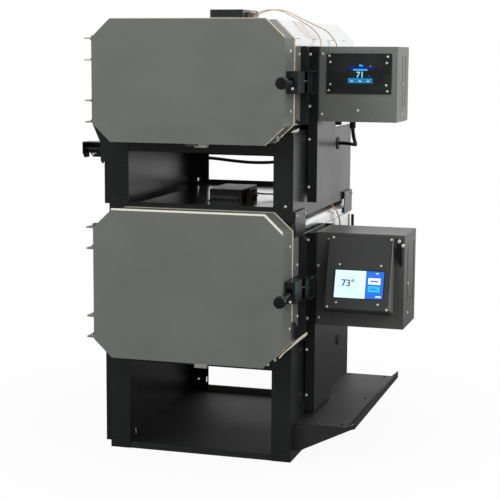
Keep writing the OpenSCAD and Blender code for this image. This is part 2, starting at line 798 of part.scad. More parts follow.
// Box-shaped covers on the right side, and the narrow channels on the left
module cable_ducts() color(black) for (i = [LOWER, UPPER]) {
    t = stand_sheet;
    x0 = half_w + sheet;
    z0 = duct_z[i];
    z1 = duct_top[i];
    notch = 8;
    difference() {
        slab([x0, duct_y, z0], [duct_x, duct_y + duct_d, z1]);
        slab([x0 - 1, duct_y + t, z0 - 1], [duct_x - t, duct_y + duct_d - t, z1 + 1]);
        // Corner reliefs at the top of the folded edges
        along_y(duct_y - 1, duct_y + t + 1) polygon([
            [x0 - 1, z1 + 1], [x0 - 1, z1 - notch], [x0, z1 - notch], [x0 + notch / 2, z1 + 1]
        ]);
    }
    left_z0 = i == LOWER ? 6 : roof_z[LOWER] + 1;
    left_z1 = i == LOWER ? lower_side_h : upper_side_top - 54;
    difference() {
        slab([-half_stand - duct_w, guard_y - 8, left_z0], [-half_stand, duct_y, left_z1]);
        slab([-half_stand - duct_w + t, guard_y - 8 + t, left_z0 - 1],
             [-half_stand + 1, duct_y - t, left_z1 + 1]);
    }
}

tab_w = 84;
rear_tab_w = 82;
tab_h = 51;
// The left front tab starts behind the hinge brackets
tab_y = [body_y + 48, stand_y];

// Tabs that tie the upper tier to the sides of the lower oven
module stacking_tabs() color(black) for (s = [0, 1]) {
    x0 = s > 0 ? half_w + sheet : -half_w - sheet - stand_sheet;
    xj = s > 0 ? half_stand : -half_w - sheet - joint;
    z0 = roof_z[LOWER] - tab_h;
    for (y = [[tab_y[s], tab_y[s] + tab_w], [stand_back - rear_tab_w, stand_back - 2]]) {
        slab([x0, y[0], z0], [x0 + stand_sheet, y[1], z0 + tab_h]);
        // Spacer under the tab, on the side panel's edge
        slab([xj + joint, y[0], upper_side_z + 2], [xj + half_w + sheet - half_stand, y[1], z0 + tab_h]);
    }
}

// Shelf on the right side with a bent-up lip and two gussets
module side_shelf() color(black) {
    t = stand_sheet;
    x0 = half_stand;
    x1 = x0 + shelf_w;
    y0 = shelf_y;
    y1 = shelf_y + shelf_d;
    along_y(y0, y1) polygon([
        [x0, shelf_z - t], [x1, shelf_z - t], [x1 + shelf_lip + 1, shelf_z + shelf_lip - 3],
        [x1 + shelf_lip, shelf_z + shelf_lip], [x1 - 1, shelf_z], [x0, shelf_z]
    ]);
    difference() {
        slab([x0, y0, shelf_z - gusset_h], [x0 + t, y1, shelf_z - t]);
        for (y = [y0 + 40, y1 - 40]) bar_x([x0 - 1, y, shelf_z - 30], 5, t + 2);
    }
    for (y = [y0, y1 - t]) along_y(y, y + t) polygon([
        [x0 + t, shelf_z - t], [x0 + t, shelf_z - gusset_h], [x0 + 12, shelf_z - gusset_h],
        [x1, shelf_z - 10], [x1, shelf_z - t]
    ]);
}

// Hooded bracket with a round bar at the left end of the upper rail
module hanger_bracket() color(black) {
    t = stand_sheet;
    x1 = -half_stand;
    x0 = x1 - 58;
    z1 = oven_z[UPPER] + 3;
    y0 = stand_y + 1;
    along_y(y0 + 34, y0 + 34 + t) polygon([
        [x0, z1], [x1, z1], [x1, z1 - 36], [x0 + 10, z1 - 34], [x0, z1 - 22]
    ]);
    slab([x0, y0, z1 - t], [x1, y0 + 34, z1]);
    along_x(x0, x0 + t) polygon([
        [y0, z1 - t], [y0, z1 - 20], [y0 + 10, z1 - 32], [y0 + 34, z1 - 32], [y0 + 34, z1 - t]
    ]);
    bar_x([x0 + t, y0 + 14, z1 - 17], 8, x1 - x0 - t);
}

// Cords

grommet_y = [512, 481];
grommet_d = 24;
grommet_down = [50, 37];
cord_exit = [box_x + 60, box_y + 56, duct_top[UPPER] - upper_box_h];
clip_at = [-half_stand + 19, stand_back + 8, roof_z[LOWER] + 64];
coil_at = [-half_stand - 44, stand_back + 64];
coil_r = 38;
coil_pitch = cord_d + 0.9;
coil_loops = 2;
coil_steps = 24;
// Radii of the cord's bends over the clip and down to the floor
clip_bend = 36;
floor_bend = 60;
// Height at which a six-sided tube lies on one of its flats
coil_z = cord_d / 2 * sin(60);

// Split rubber grommets in both right side panels, and the clip on the rear frame
module cord_grommets() color("#141414") {
    tops = [lower_side_h, upper_side_top];
    bore = cord_d / 2 + 0.3;
    rim = grommet_d / 2 + 3;
    for (i = [LOWER, UPPER])
        translate([half_stand - stand_sheet - 2, grommet_y[i], tops[i] - grommet_down[i]])
            rotate([0, 90, 0]) rotate_extrude() polygon([
                [bore, 0], [rim, 0], [rim, 2], [grommet_d / 2, 2],
                [grommet_d / 2, 2 + stand_sheet], [rim, 2 + stand_sheet],
                [rim - 2, 5 + stand_sheet], [bore, 5 + stand_sheet]
            ]);
    difference() {
        slab([clip_at.x - 5, stand_back, clip_at.z - 7], [clip_at.x + 5, clip_at.y + 7, clip_at.z + 7]);
        bar_x([clip_at.x - 6, clip_at.y, clip_at.z], cord_d + 0.6, 12);
    }
}

// Smooth curve between two points, drawn by two more
function curve(a, b, c, d, n) = [for (k = [0 : n])
    let (t = k / n, u = 1 - t) u * u * u * a + 3 * t * u * u * b + 3 * t * t * u * c + t * t * t * d];

// Route of the short cord between the upper control box and its grommet
cord_hole = [half_stand, grommet_y[UPPER], upper_side_top - grommet_down[UPPER]];
control_route = concat(
    [cord_exit + [0, 0, 1]],
    curve(cord_exit - [0, 0, 6.5], cord_exit - [0, 0, 66.5], cord_hole + [63, 0, 0],
          cord_hole + [8, 0, 0], 18),
    [cord_hole - [5.4, 0, 0]]
);
module control_cord() color("#161616") tube(control_route, cord_d);

// Route of the power cord from the grommet, out by the rear window, over the clip and down
coil_in = coil_at.y - coil_r;
power_route = concat(
    curve(cord_hole - [6.6, 0, 0], cord_hole - [51, 0, 0],
          [cord_hole.x - 97, stand_back - 60, cord_hole.z - 32],
          [cord_hole.x - 139, stand_back - 24, cord_hole.z - 47], 8),
    curve([cord_hole.x - 149, stand_back - 19, cord_hole.z - 50],
          [cord_hole.x - 181, stand_back + 2, clip_at.z - 7],
          clip_at + [162, 0, -9], clip_at + [122, 0, -8], 6),
    curve(clip_at + [106, 0, -7], clip_at + [72, 0, -5], clip_at + [42, 0, 0], clip_at + [10, 0, 0], 5),
    [for (k = [0 : 6]) let (a = k * 15)
        clip_at + [-8 - clip_bend * sin(a), k * 0.6, clip_bend * (cos(a) - 1)]],
    curve(clip_at + [-44.6, 4.5, -60], clip_at + [-47, 7, -210],
          [coil_at.x, coil_in, 260], [coil_at.x, coil_in, 90], 8),
    [for (k = [0 : 6]) let (b = k * 15, a = -90.5 + floor_bend * (1 - cos(b)) / coil_r * 180 / PI)
        [coil_at.x - coil_r * cos(a), coil_at.y + coil_r * sin(a), coil_z + floor_bend * (1 - sin(b))]]
);
power_last = len(power_route) - 1;
module power_cord() color("#161616") tube([for (k = [0 : power_last])
    k < power_last ? power_route[k] : power_route[k] - [0, 1.1, 0]], cord_d);

// The spare cord lies on the floor in a flat spiral behind the stand
coil_route = [for (k = [0 : coil_loops * coil_steps])
    let (turn = k / coil_steps, r = coil_r + coil_pitch * turn)
    [coil_at.x - r * cos(turn * 360), coil_at.y + r * sin(turn * 360), coil_z]];
coil_gap = min([for (k = [0 : coil_steps * (coil_loops - 1)], j = [coil_steps - 2 : coil_steps + 2])
    k + j <= coil_steps * coil_loops ? norm(coil_route[k + j] - coil_route[k]) : 1000]) - cord_d;
echo(coil_gap = coil_gap);
module cord_coil() color("#161616") tube(coil_route, cord_d, 6);

// Plug with two flat blades and a round earth pin
module plug() {
    x = coil_at.x - coil_r - coil_pitch * coil_loops;
    y = coil_at.y + 26;
    color("#161616") {
        bar_y([x, coil_at.y + 0.7, coil_z], cord_d - 1.4, 26);
        hull() {
            slab([x - 6, y, 0], [x + 6, y + 1, 14]);
            slab([x - 12, y + 18, 0], [x + 12, y + 36, 24]);
        }
    }
    color(steel) {
        for (s = [-1, 1]) slab([x + s * 6.3 - 0.75, y + 36, 12], [x + s * 6.3 + 0.75, y + 53, 18]);
        bar_y([x, y + 36, 6.5], 4.8, 19);
    }
}

// Ovens, lower then upper
place() shell(LOWER);  // lower_shell
place() end_frames(LOWER);  // lower_end_frames
place() lining(LOWER);  // lower_lining
place() elements(LOWER);  // lower_elements
place() probe_cover(LOWER);  // lower_probe_cover
place() probe(LOWER);  // lower_probe
place() probe_lead(LOWER);  // lower_probe_lead
place() terminal_guard(LOWER);  // lower_terminal_guard
place() door_skin(LOWER);  // lower_door_skin
place() door_boards(LOWER);  // lower_door_boards
place() door_pan(LOWER);  // lower_door_pan
place() door_brick(LOWER);  // lower_door_brick
place() door_hinges(LOWER);  // lower_door_hinges
place() body_hinges(LOWER);  // lower_body_hinges
place() latch_housing(LOWER);  // lower_latch_housing
place() latch_lever(LOWER);  // lower_latch_lever
place() latch_knob(LOWER);  // lower_latch_knob
place() strike(LOWER);  // lower_strike
place() control_case(LOWER);  // lower_control_case
place() lower_display_housing();
place() lower_display_screen();
place() shell(UPPER);  // upper_shell
place() end_frames(UPPER);  // upper_end_frames
place() lining(UPPER);  // upper_lining
place() elements(UPPER);  // upper_elements
place() probe_cover(UPPER);  // upper_probe_cover
place() probe(UPPER);  // upper_probe
place() probe_lead(UPPER);  // upper_probe_lead
place() terminal_guard(UPPER);  // upper_terminal_guard
place() door_skin(UPPER);  // upper_door_skin
place() door_boards(UPPER);  // upper_door_boards
place() door_pan(UPPER);  // upper_door_pan
place() door_brick(UPPER);  // upper_door_brick
place() door_hinges(UPPER);  // upper_door_hinges
place() body_hinges(UPPER);  // upper_body_hinges
place() latch_housing(UPPER);  // upper_latch_housing
place() latch_lever(UPPER);  // upper_latch_lever
place() latch_knob(UPPER);  // upper_latch_knob
place() strike(UPPER);  // upper_strike
place() control_case(UPPER);  // upper_control_case
place() upper_display_panel();
place() upper_display_screen();

// Stand
place() side_panel(-1, LOWER, 0, lower_side_h, left_post);  // lower_side_left
place() side_panel(1, LOWER, 0, lower_side_h, right_post);  // lower_side_right
place() lower_tray();
place() lower_frames();
place() side_panel(-1, UPPER, upper_side_z, upper_side_top, left_post);  // upper_side_left
place() side_panel(1, UPPER, upper_side_z, upper_side_top, right_post);  // upper_side_right
place() upper_frames();
place() cradles();
place() cable_ducts();
place() stacking_tabs();
place() side_shelf();
place() hanger_bracket();

// Cords
place() cord_grommets();
place() control_cord();
place() power_cord();
place() cord_coil();
place() plug();
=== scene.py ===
"""Dresses the stack of two heat treat ovens: camera, light, finishes and fine pieces.

Lengths are in millimetres until at() or mm() turns them into metres. Y is counted
back from the closed doors' front, as in the part's source.
"""

import math

import bmesh
import bpy
from mathutils import Matrix, Vector


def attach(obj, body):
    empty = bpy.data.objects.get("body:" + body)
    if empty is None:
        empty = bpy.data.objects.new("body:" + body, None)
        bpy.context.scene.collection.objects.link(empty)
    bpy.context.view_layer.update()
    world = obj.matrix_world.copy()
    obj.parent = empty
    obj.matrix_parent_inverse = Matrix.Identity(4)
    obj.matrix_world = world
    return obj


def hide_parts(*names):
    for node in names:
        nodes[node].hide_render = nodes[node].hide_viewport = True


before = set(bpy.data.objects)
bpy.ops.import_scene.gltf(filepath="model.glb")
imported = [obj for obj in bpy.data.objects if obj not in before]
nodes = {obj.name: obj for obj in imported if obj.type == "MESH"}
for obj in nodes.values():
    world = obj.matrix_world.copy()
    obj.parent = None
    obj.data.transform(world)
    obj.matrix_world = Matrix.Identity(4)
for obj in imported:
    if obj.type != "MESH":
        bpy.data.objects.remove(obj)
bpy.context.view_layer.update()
OVENS = ("lower", "upper")
STAND = "stand"

# How far the closed doors' front lies ahead of the origin
FRONT = 352.5
# Holes in the rear frames that show white, right and up
HOLES_SEEN = [(-180.4, 539.7), (-180.4, 535.7), (-180.4, 519.8), (-180.4, 515.8), (-178.7, 32.5)]
# Heights of each oven, and of the top of its cable duct
ROOF = {"lower": 526, "upper": 914}
FLOOR = {"lower": 217, "upper": 666}
MIDDLE = {"lower": 371.5, "upper": 790}
DUCT_TOP = {"lower": 473.5, "upper": 861.5}
# Half the width of an oven's flat roof, from where its corners are cut
FLAT_HALF = 163.5


def at(x, y, z):
    """A point in metres from millimetres right, back from the doors' front, and up."""
    return Vector((x, y - FRONT, z)) / 1000


def mm(value):
    return value / 1000


# Camera

EYE = (912.9, -2613.7, 844.2)
LENS = 99.26
BEARING, DIP, ROLL = 16.5622, 8.0751, 0.36


def aim_camera():
    """The camera that the photograph was taken with, as fitted to it."""
    bearing, dip, roll = (math.radians(a) for a in (BEARING, DIP, ROLL))
    ahead = Vector(
        (-math.sin(bearing) * math.cos(dip), math.cos(bearing) * math.cos(dip), -math.sin(dip))
    )
    level = Vector((math.cos(bearing), math.sin(bearing), 0))
    upright = level.cross(ahead)
    right = math.cos(roll) * level + math.sin(roll) * upright
    up = math.cos(roll) * upright - math.sin(roll) * level
    bpy.ops.object.camera_add(location=at(*EYE))
    camera = bpy.context.object
    camera.name = "photo_camera"
    camera.rotation_euler = Matrix((right, up, -ahead)).transposed().to_euler()
    camera.data.lens = LENS
    camera.data.sensor_width = 36
    camera.data.clip_start = 0.05
    camera.data.clip_end = 60
    bpy.context.scene.camera = camera


aim_camera()


# Finishes


class Wire:
    """An output in a finish that takes part in sums."""

    def __init__(self, finish, socket):
        self.finish = finish
        self.socket = socket

    def sum(self, operation, other=0.0, swapped=False):
        pair = (other, self) if swapped else (self, other)
        return self.finish.add("ShaderNodeMath", {"operation": operation}, dict(enumerate(pair)))

    def __add__(self, other):
        return self.sum("ADD", other)

    def __sub__(self, other):
        return self.sum("SUBTRACT", other)

    def __rsub__(self, other):
        return self.sum("SUBTRACT", other, True)

    def __mul__(self, other):
        return self.sum("MULTIPLY", other)



class Finish:
    """A procedural finish of this object, built round one shader."""

    def __init__(self, name, roughness=0.5, metallic=0.0, specular=0.5):
        self.material = bpy.data.materials.new(name)
        self.material.use_nodes = True
        self.tree = self.material.node_tree
        self.shader = next(n for n in self.tree.nodes if n.type == "BSDF_PRINCIPLED")
        self.shader.inputs["Metallic"].default_value = metallic
        self.shader.inputs["Roughness"].default_value = roughness
        self.shader.inputs["Specular IOR Level"].default_value = specular
        self.place = self.add("ShaderNodeTexCoord", output="Object")

    def add(self, kind, settings=None, inputs=None, output=0):
        node = self.tree.nodes.new(kind)
        for key, value in (settings or {}).items():
            setattr(node, key, value)
        for key, value in (inputs or {}).items():
            self.join(node.inputs[key], value)
        return Wire(self, node.outputs[output])

    def join(self, socket, value):
        if isinstance(value, Wire):
            self.tree.links.new(value.socket, socket)
        elif socket.type == "RGBA" and len(value) == 3:
            socket.default_value = (*value, 1)
        else:
            socket.default_value = value

    def feed(self, **values):
        for key, value in values.items():
            self.join(self.shader.inputs[key.replace("_", " ")], value)
        return self

    def stretched(self, x=1, y=1, z=1):
        """The place on the object, with the pattern stretched along some axes."""
        return self.add("ShaderNodeMapping", None, {"Vector": self.place, "Scale": (x, y, z)})

    def noise(self, scale, detail=2.0, rough=0.5, place=None):
        return self.add(
            "ShaderNodeTexNoise",
            None,
            {"Vector": place or self.place, "Scale": scale, "Detail": detail, "Roughness": rough},
        )

    def cells(self, scale):
        return self.add("ShaderNodeTexVoronoi", None, {"Vector": self.place, "Scale": scale})

    def between(self, value, low, high, start=0.0, stop=1.0):
        """Value taken from the span low..high to the span start..stop, and kept in it."""
        return self.add(
            "ShaderNodeMapRange",
            None,
            {"Value": value, "From Min": low, "From Max": high, "To Min": start, "To Max": stop},
        )

    def mix(self, mask, first, second):
        return self.add(
            "ShaderNodeMix",
            {"data_type": "RGBA"},
            {0: mask, 6: first, 7: second},
            output=2,
        )

    def bump(self, height, depth, strength=1.0):
        """Relief of so many metres, fed to the shader."""
        relief = self.add(
            "ShaderNodeBump", None, {"Height": height, "Distance": depth, "Strength": strength}
        )
        return self.feed(Normal=relief)


def powder_coat(name, colour, worn, roughness, grain=0.00012):
    """Baked paint with a fine orange-peel skin, cloudy patches and faint dust."""
    finish = Finish(name)
    clouds = finish.noise(5.5, 4.0, 0.55)
    speck = finish.noise(1500, 1.0)
    skin = finish.noise(620, 2.0, 0.6)
    dust = finish.between(clouds, 0.3, 0.7, 0.0, 0.75) + finish.between(speck, 0.3, 0.7, 0.0, 0.25)
    finish.feed(
        Base_Color=finish.mix(dust, colour, worn),
        Roughness=finish.between(clouds + skin * 0.6, 0.45, 1.1, roughness - 0.07, roughness + 0.08),
    )
    return finish.bump(skin, grain, 0.5).material


def rolled_sheet(name):
    """Bright rolled sheet: faint streaks along its length, soft waves, a few scuffs."""
    finish = Finish(name, metallic=1.0)
    streaks = finish.noise(90, 3.0, 0.6, finish.stretched(9, 0.25, 9))
    waves = finish.noise(9, 1.5, 0.4)
    scuffs = finish.noise(42, 5.0, 0.7)
    blotch = finish.between(scuffs, 0.52, 0.74)
    finish.feed(
        Base_Color=finish.mix(
            finish.between(streaks, 0.25, 0.75), (0.80, 0.81, 0.82), (0.90, 0.905, 0.91)
        ),
        Roughness=finish.between(streaks, 0.2, 0.8, 0.14, 0.24) + blotch * 0.08,
    )
    return finish.bump(waves * 0.9 + streaks * 0.01, 0.0022, 0.35).material


def brick(name, colour, pale):
    """Soft insulating firebrick: open pores, sandy grain, faint brown stains."""
    finish = Finish(name, roughness=0.93, specular=0.2)
    pores = finish.between(finish.cells(520), 0.10, 0.30)
    grain = finish.noise(900, 4.0, 0.7)
    stain = finish.between(finish.noise(14, 5.0, 0.6), 0.45, 0.72)
    sandy = finish.mix(finish.between(grain, 0.3, 0.7), colour, pale)
    stained = finish.mix(stain * 0.35, sandy, (0.55, 0.40, 0.24))
    finish.feed(Base_Color=finish.mix(pores, (0.38, 0.30, 0.20), stained))
    return finish.bump(pores * 0.7 + grain * 0.3, 0.0009, 0.7).material


def fibre_board(name, colour=(0.60, 0.52, 0.37), pale=(0.80, 0.73, 0.57)):
    """Pressed ceramic fibre with a felted surface and small brown shot."""
    finish = Finish(name, roughness=0.9, specular=0.2)
    felt = finish.noise(380, 5.0, 0.75, finish.stretched(1, 1, 0.35))
    shot = finish.between(finish.cells(240), 0.04, 0.10)
    cream = finish.mix(finish.between(felt, 0.3, 0.7), colour, pale)
    finish.feed(Base_Color=finish.mix(shot, (0.30, 0.21, 0.12), cream))
    return finish.bump(felt, 0.0006, 0.6).material


def bare_metal(name, colour, roughness=0.28, metallic=1.0):
    """Zinc-plated or turned steel with fine turning marks."""
    finish = Finish(name, metallic=metallic)
    marks = finish.noise(700, 2.0, 0.6)
    dull = finish.noise(160, 3.0)
    finish.feed(
        Base_Color=finish.mix(finish.between(dull, 0.35, 0.7), colour, [c * 0.72 for c in colour]),
        Roughness=finish.between(marks, 0.3, 0.7, roughness - 0.06, roughness + 0.1),
    )
    return finish.bump(marks, 0.00005, 0.5).material


def moulded(name, colour, roughness=0.3, grain=0.00006):
    """Moulded plastic or rubber with a very fine grain."""
    finish = Finish(name, specular=0.3)
    grains = finish.noise(1300, 2.0)
    wear = finish.noise(30, 4.0, 0.6)
    finish.feed(
        Base_Color=finish.mix(finish.between(wear, 0.4, 0.75), colour, [c * 1.6 + 0.004 for c in colour]),
        Roughness=finish.between(wear, 0.3, 0.7, roughness - 0.05, roughness + 0.08),
    )
    return finish.bump(grains, grain, 0.5).material


def glowing(name, colour):
    """A lit field of a display, with faint dots."""
    finish = Finish(name, roughness=0.12)
    dots = finish.between(finish.cells(3200), 0.0, 0.6, 1.0, 0.96)
    dark = [c * 0.12 for c in colour]
    lit = finish.add("ShaderNodeVectorMath", {"operation": "SCALE"}, {0: colour, "Scale": dots})
    finish.feed(Base_Color=dark, Emission_Color=lit, Emission_Strength=1.0)
    return finish.material


def sleeved(name):
    """Braided high-temperature sleeve with a coloured tracer."""
    finish = Finish(name, roughness=0.75)
    braid = finish.cells(950)
    tracer = finish.between(finish.noise(260, 1.0), 0.52, 0.58)
    base = finish.mix(finish.between(braid, 0.1, 0.6), (0.42, 0.30, 0.18), (0.62, 0.48, 0.32))
    finish.feed(Base_Color=finish.mix(tracer * 0.5, base, (0.50, 0.20, 0.12)))
    return finish.bump(braid, 0.0003, 0.6).material


DOOR_GREY = powder_coat("door_grey", (0.120, 0.127, 0.115), (0.142, 0.149, 0.136), 0.46)
TRIM_GREY = powder_coat("trim_grey", (0.110, 0.116, 0.105), (0.134, 0.140, 0.128), 0.44)
CASE_GREY = powder_coat("case_grey", (0.132, 0.138, 0.126), (0.156, 0.162, 0.148), 0.42)
CASE_DARK = powder_coat("case_dark", (0.058, 0.060, 0.056), (0.074, 0.077, 0.073), 0.38)
BLACK_COAT = powder_coat("black_coat", (0.009, 0.0096, 0.0102), (0.015, 0.0157, 0.0164), 0.30)
TRAY_COAT = powder_coat("tray_coat", (0.009, 0.0096, 0.0102), (0.015, 0.0157, 0.0164), 0.62)
HOOD = powder_coat("hood_coat", (0.020, 0.0212, 0.0205), (0.029, 0.0305, 0.030), 0.40)
COVER = powder_coat("smooth_cover", (0.012, 0.0135, 0.0128), (0.018, 0.020, 0.019), 0.20)
SHELF_COAT = powder_coat("shelf_coat", (0.012, 0.0124, 0.013), (0.020, 0.0204, 0.021), 0.55, 0.0002)
BRIGHT = rolled_sheet("bright_shell_sheet")
BRICK = brick("soft_firebrick", (0.72, 0.64, 0.50), (0.84, 0.78, 0.66))
BOARD = fibre_board("ceramic_fibre_board")
# Pale fibre board for the lower door's lip, also the colour of the painted glints at the cut corners
PALE_BOARD_AND_GLINT = fibre_board("pale_fibre_board_and_glint", (0.74, 0.70, 0.58), (0.90, 0.88, 0.78))
ZINC = bare_metal("zinc_screw", (0.82, 0.81, 0.78), 0.3, 0.35)
DARK_SCREW = bare_metal("blackened_screw", (0.10, 0.10, 0.105), 0.38)
WIRE = bare_metal("scaled_heating_wire", (0.24, 0.20, 0.17), 0.6)
KNOB = moulded("knob_plastic", (0.006, 0.006, 0.0065), 0.22)
BEZEL = moulded("display_plastic", (0.013, 0.0135, 0.0145), 0.30)
RUBBER = moulded("cord_rubber", (0.012, 0.012, 0.013), 0.48, 0.00012)
# The head block's dark browns are painted shade, for the shadow beside the roof cover
HEAD_BLOCK_SHADE = brick("ceramic_head_block_painted_shade", (0.10, 0.09, 0.075), (0.16, 0.14, 0.12))
SLEEVE = sleeved("lead_sleeve")
# Pale paint for the roof covers' tops: a painted reflection of the light behind the ovens
PAINTED_REFLECTION_TOP = powder_coat("cover_top_painted_reflection", (0.74, 0.75, 0.74), (0.84, 0.85, 0.84), 0.25)
HOLE_LIGHT = glowing("white_seen_through_holes", (1, 1, 1))

FINISH_OF = {
    "shell": BRIGHT, "end_frames": TRIM_GREY, "lining": BRICK, "elements": WIRE,
    "probe_cover": BLACK_COAT, "probe": HEAD_BLOCK_SHADE, "probe_lead": SLEEVE,
    "terminal_guard": BLACK_COAT, "door_skin": DOOR_GREY, "door_boards": BOARD,
    "door_pan": TRIM_GREY, "door_brick": BRICK, "door_hinges": TRIM_GREY,
    "body_hinges": TRIM_GREY, "latch_housing": BLACK_COAT, "latch_lever": DARK_SCREW,
    "latch_knob": KNOB, "strike": BLACK_COAT, "display_housing": BEZEL,
    "display_panel": BEZEL, "display_screen": BEZEL,
}
FINISH_OF_NODE = {
    "lower_control_case": CASE_DARK, "upper_control_case": CASE_GREY, "lower_tray": TRAY_COAT,
    "cord_grommets": RUBBER, "control_cord": RUBBER, "power_cord": RUBBER,
    "cord_coil": RUBBER, "plug": RUBBER,
}


def coat_nodes():
    """The two ovens share their finishes; what has none of its own is coated black."""
    for name, node in nodes.items():
        kind = name.partition("_")[2]
        material = FINISH_OF_NODE.get(name) or FINISH_OF.get(kind, BLACK_COAT)
        for slot in node.material_slots:
            slot.material = material


coat_nodes()


# Cords


def cord_along(name, route, diameter, material, body=STAND):
    """A round cord on one smooth line through the route's points."""
    line = bpy.data.curves.new(name, "CURVE")
    line.dimensions = "3D"
    line.bevel_depth = mm(diameter / 2)
    line.bevel_resolution = 5
    line.use_fill_caps = True
    spline = line.splines.new("POLY")
    spline.points.add(len(route) - 1)
    for point, place in zip(spline.points, route):
        point.co = (*at(*place), 1)
    line.materials.append(material)
    piece = bpy.data.objects.new(name, line)
    bpy.context.collection.objects.link(piece)
    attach(piece, body)
    return piece


def length_of(route):
    return sum((b - a).length for a, b in zip(route, route[1:])) / 1000


CORD = 8
COIL_AT = Vector((-245, 684))
COIL_R, COIL_PITCH, COIL_LOOPS, COIL_Z = 38, 8.9, 2, 3.4641
CLIP = Vector((-182, 628, 590))
CLIP_BEND, FLOOR_BEND = 36, 60


def curve(a, b, c, d, steps):
    """Smooth curve between two points, drawn by two more."""
    a, b, c, d = (Vector(p) for p in (a, b, c, d))
    line = []
    for k in range(steps + 1):
        t = k / steps
        u = 1 - t
        line.append(a * u**3 + b * 3 * t * u**2 + c * 3 * t**2 * u + d * t**3)
    return line


def coil_point(angle, r, z):
    return Vector((COIL_AT.x - r * math.cos(angle), COIL_AT.y + r * math.sin(angle), z))


def power_route():
    """From the grommet, out by the rear window, over the clip and down to the coil."""
    route = curve((194.4, 481, 644), (150, 481, 644), (104, 560, 612), (62, 596, 597), 8)
    route += curve((52, 601, 594), (20, 622, 583), (-20, 628, 581), (-60, 628, 582), 6)
    route += curve((-76, 628, 583), (-110, 628, 585), (-140, 628, 590), (-172, 628, 590), 5)
    for k in range(7):
        a = math.radians(15 * k)
        over = (-8 - CLIP_BEND * math.sin(a), 0.6 * k, CLIP_BEND * (math.cos(a) - 1))
        route.append(CLIP + Vector(over))
    route += curve((-226.6, 632.5, 530), (-229, 635, 380), (-245, 646, 260), (-245, 646, 90), 8)
    for k in range(6):
        b = math.radians(15 * k)
        a = math.radians(-90.5) + FLOOR_BEND * (1 - math.cos(b)) / COIL_R
        route.append(coil_point(a, COIL_R, COIL_Z + FLOOR_BEND * (1 - math.sin(b))))
    for step in range(24 * COIL_LOOPS + 1):
        turn = step / 24
        route.append(coil_point(math.tau * turn, COIL_R + COIL_PITCH * turn, COIL_Z))
    return route


def control_route():
    """From the upper control box round to the grommet in the stand's right side."""
    bend = curve((285, 255, 700), (285, 255, 640), (264, 481, 644), (209, 481, 644), 18)
    return [Vector((285, 255, 707.5)), *bend, Vector((195.6, 481, 644))]


def lay_cords():
    route = power_route()
    power = cord_along("power_lead", route, CORD, RUBBER)
    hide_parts("power_cord", "cord_coil")
    at(*route[0])
    length_of(route)
    mm(CORD)
    control = cord_along("control_lead", control_route(), CORD, RUBBER)
    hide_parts("control_cord")


lay_cords()


# Pieces


def alone(*pieces):
    """Selects only these pieces, the first one active."""
    bpy.ops.object.select_all(action="DESELECT")
    for piece in pieces:
        piece.select_set(True)
    bpy.context.view_layer.objects.active = pieces[0]


def settled(piece):
    """Moves the piece's place, turn and size into its mesh."""
    alone(piece)
    bpy.ops.object.transform_apply(location=True, rotation=True, scale=True)
    return piece


def softened(piece, width):
    """Rounds the sharp edges and smooths what is round."""
    alone(piece)
    edge = piece.modifiers.new("soft_edges", "BEVEL")
    edge.width = mm(width)
    edge.segments = 2
    edge.limit_method = "ANGLE"
    bpy.ops.object.modifier_apply(modifier=edge.name)
    bpy.ops.object.shade_smooth_by_angle(angle=math.radians(40))
    flat = piece.modifiers.new("flat_faces", "WEIGHTED_NORMAL")
    flat.keep_sharp = True
    bpy.ops.object.modifier_apply(modifier=flat.name)
    return piece


def pick(piece, test):
    """Selects the faces that pass a test; the piece is in edit mode."""
    bpy.ops.mesh.select_mode(type="FACE")
    bpy.ops.mesh.select_all(action="DESELECT")
    mesh = bmesh.from_edit_mesh(piece.data)
    for face in mesh.faces:
        face.select_set(test(face))
    bmesh.update_edit_mesh(piece.data)


def block(low, high, bevel=0.5):
    """A box between two corners, with rounded edges."""
    middle = at(*((a + b) / 2 for a, b in zip(low, high)))
    bpy.ops.mesh.primitive_cube_add(size=1, location=middle)
    piece = bpy.context.object
    piece.scale = [mm(b - a) for a, b in zip(low, high)]
    return softened(settled(piece), bevel)


def plate(outline, lift, bevel=0.4):
    """A sheet piece: an outline of places, drawn out by one step."""
    bpy.ops.mesh.primitive_plane_add(size=0.01, location=at(*outline[0]))
    piece = settled(bpy.context.object)
    bpy.ops.object.mode_set(mode="EDIT")
    bpy.ops.mesh.select_mode(type="VERT")
    bpy.ops.mesh.select_all(action="SELECT")
    bpy.ops.mesh.merge(type="CENTER")
    for a, b in zip(outline, outline[1:]):
        step = at(*b) - at(*a)
        bpy.ops.mesh.extrude_vertices_move(TRANSFORM_OT_translate={"value": step})
    bpy.ops.mesh.select_all(action="SELECT")
    bpy.ops.mesh.edge_face_add()
    bpy.ops.mesh.extrude_region_move(TRANSFORM_OT_translate={"value": Vector(lift) / 1000})
    bpy.ops.mesh.select_all(action="SELECT")
    bpy.ops.mesh.normals_make_consistent(inside=False)
    bpy.ops.object.mode_set(mode="OBJECT")
    return softened(piece, bevel)


def sheet_xz(y, thick, points, bevel=0.4):
    """A sheet that faces the front, from points right and up."""
    return plate([(x, y, z) for x, z in points], (0, thick, 0), bevel)


def drawn_x(x0, x1, points, bevel=0.4):
    """A bent section of points back and up, drawn out along X."""
    return plate([(x0, y, z) for y, z in points], (x1 - x0, 0, 0), bevel)


def rod(start, end, radius, bevel=0.5):
    """A round bar with rounded ends."""
    a, b = at(*start), at(*end)
    bpy.ops.mesh.primitive_cylinder_add(
        vertices=24, radius=mm(radius), depth=(b - a).length, location=(a + b) / 2,
        rotation=(b - a).to_track_quat("Z", "Y").to_euler(),
    )
    return softened(settled(bpy.context.object), bevel)


def joined(pieces):
    alone(*pieces)
    bpy.ops.object.join()
    return pieces[0]


def finished(piece, name, material, body=STAND, hides=()):
    """Names and paints a piece, and ties it to its body."""
    piece.name = name
    piece.data.name = name
    piece.data.materials.clear()
    piece.data.materials.append(material)
    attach(settled(piece), body)
    if hides:
        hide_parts(*hides)
    return piece


def shade(red, green, blue):
    """A screen colour of 0 to 255, as the shaders take it."""
    return tuple((c / 255) ** 2.2 for c in (red, green, blue))


# Screws


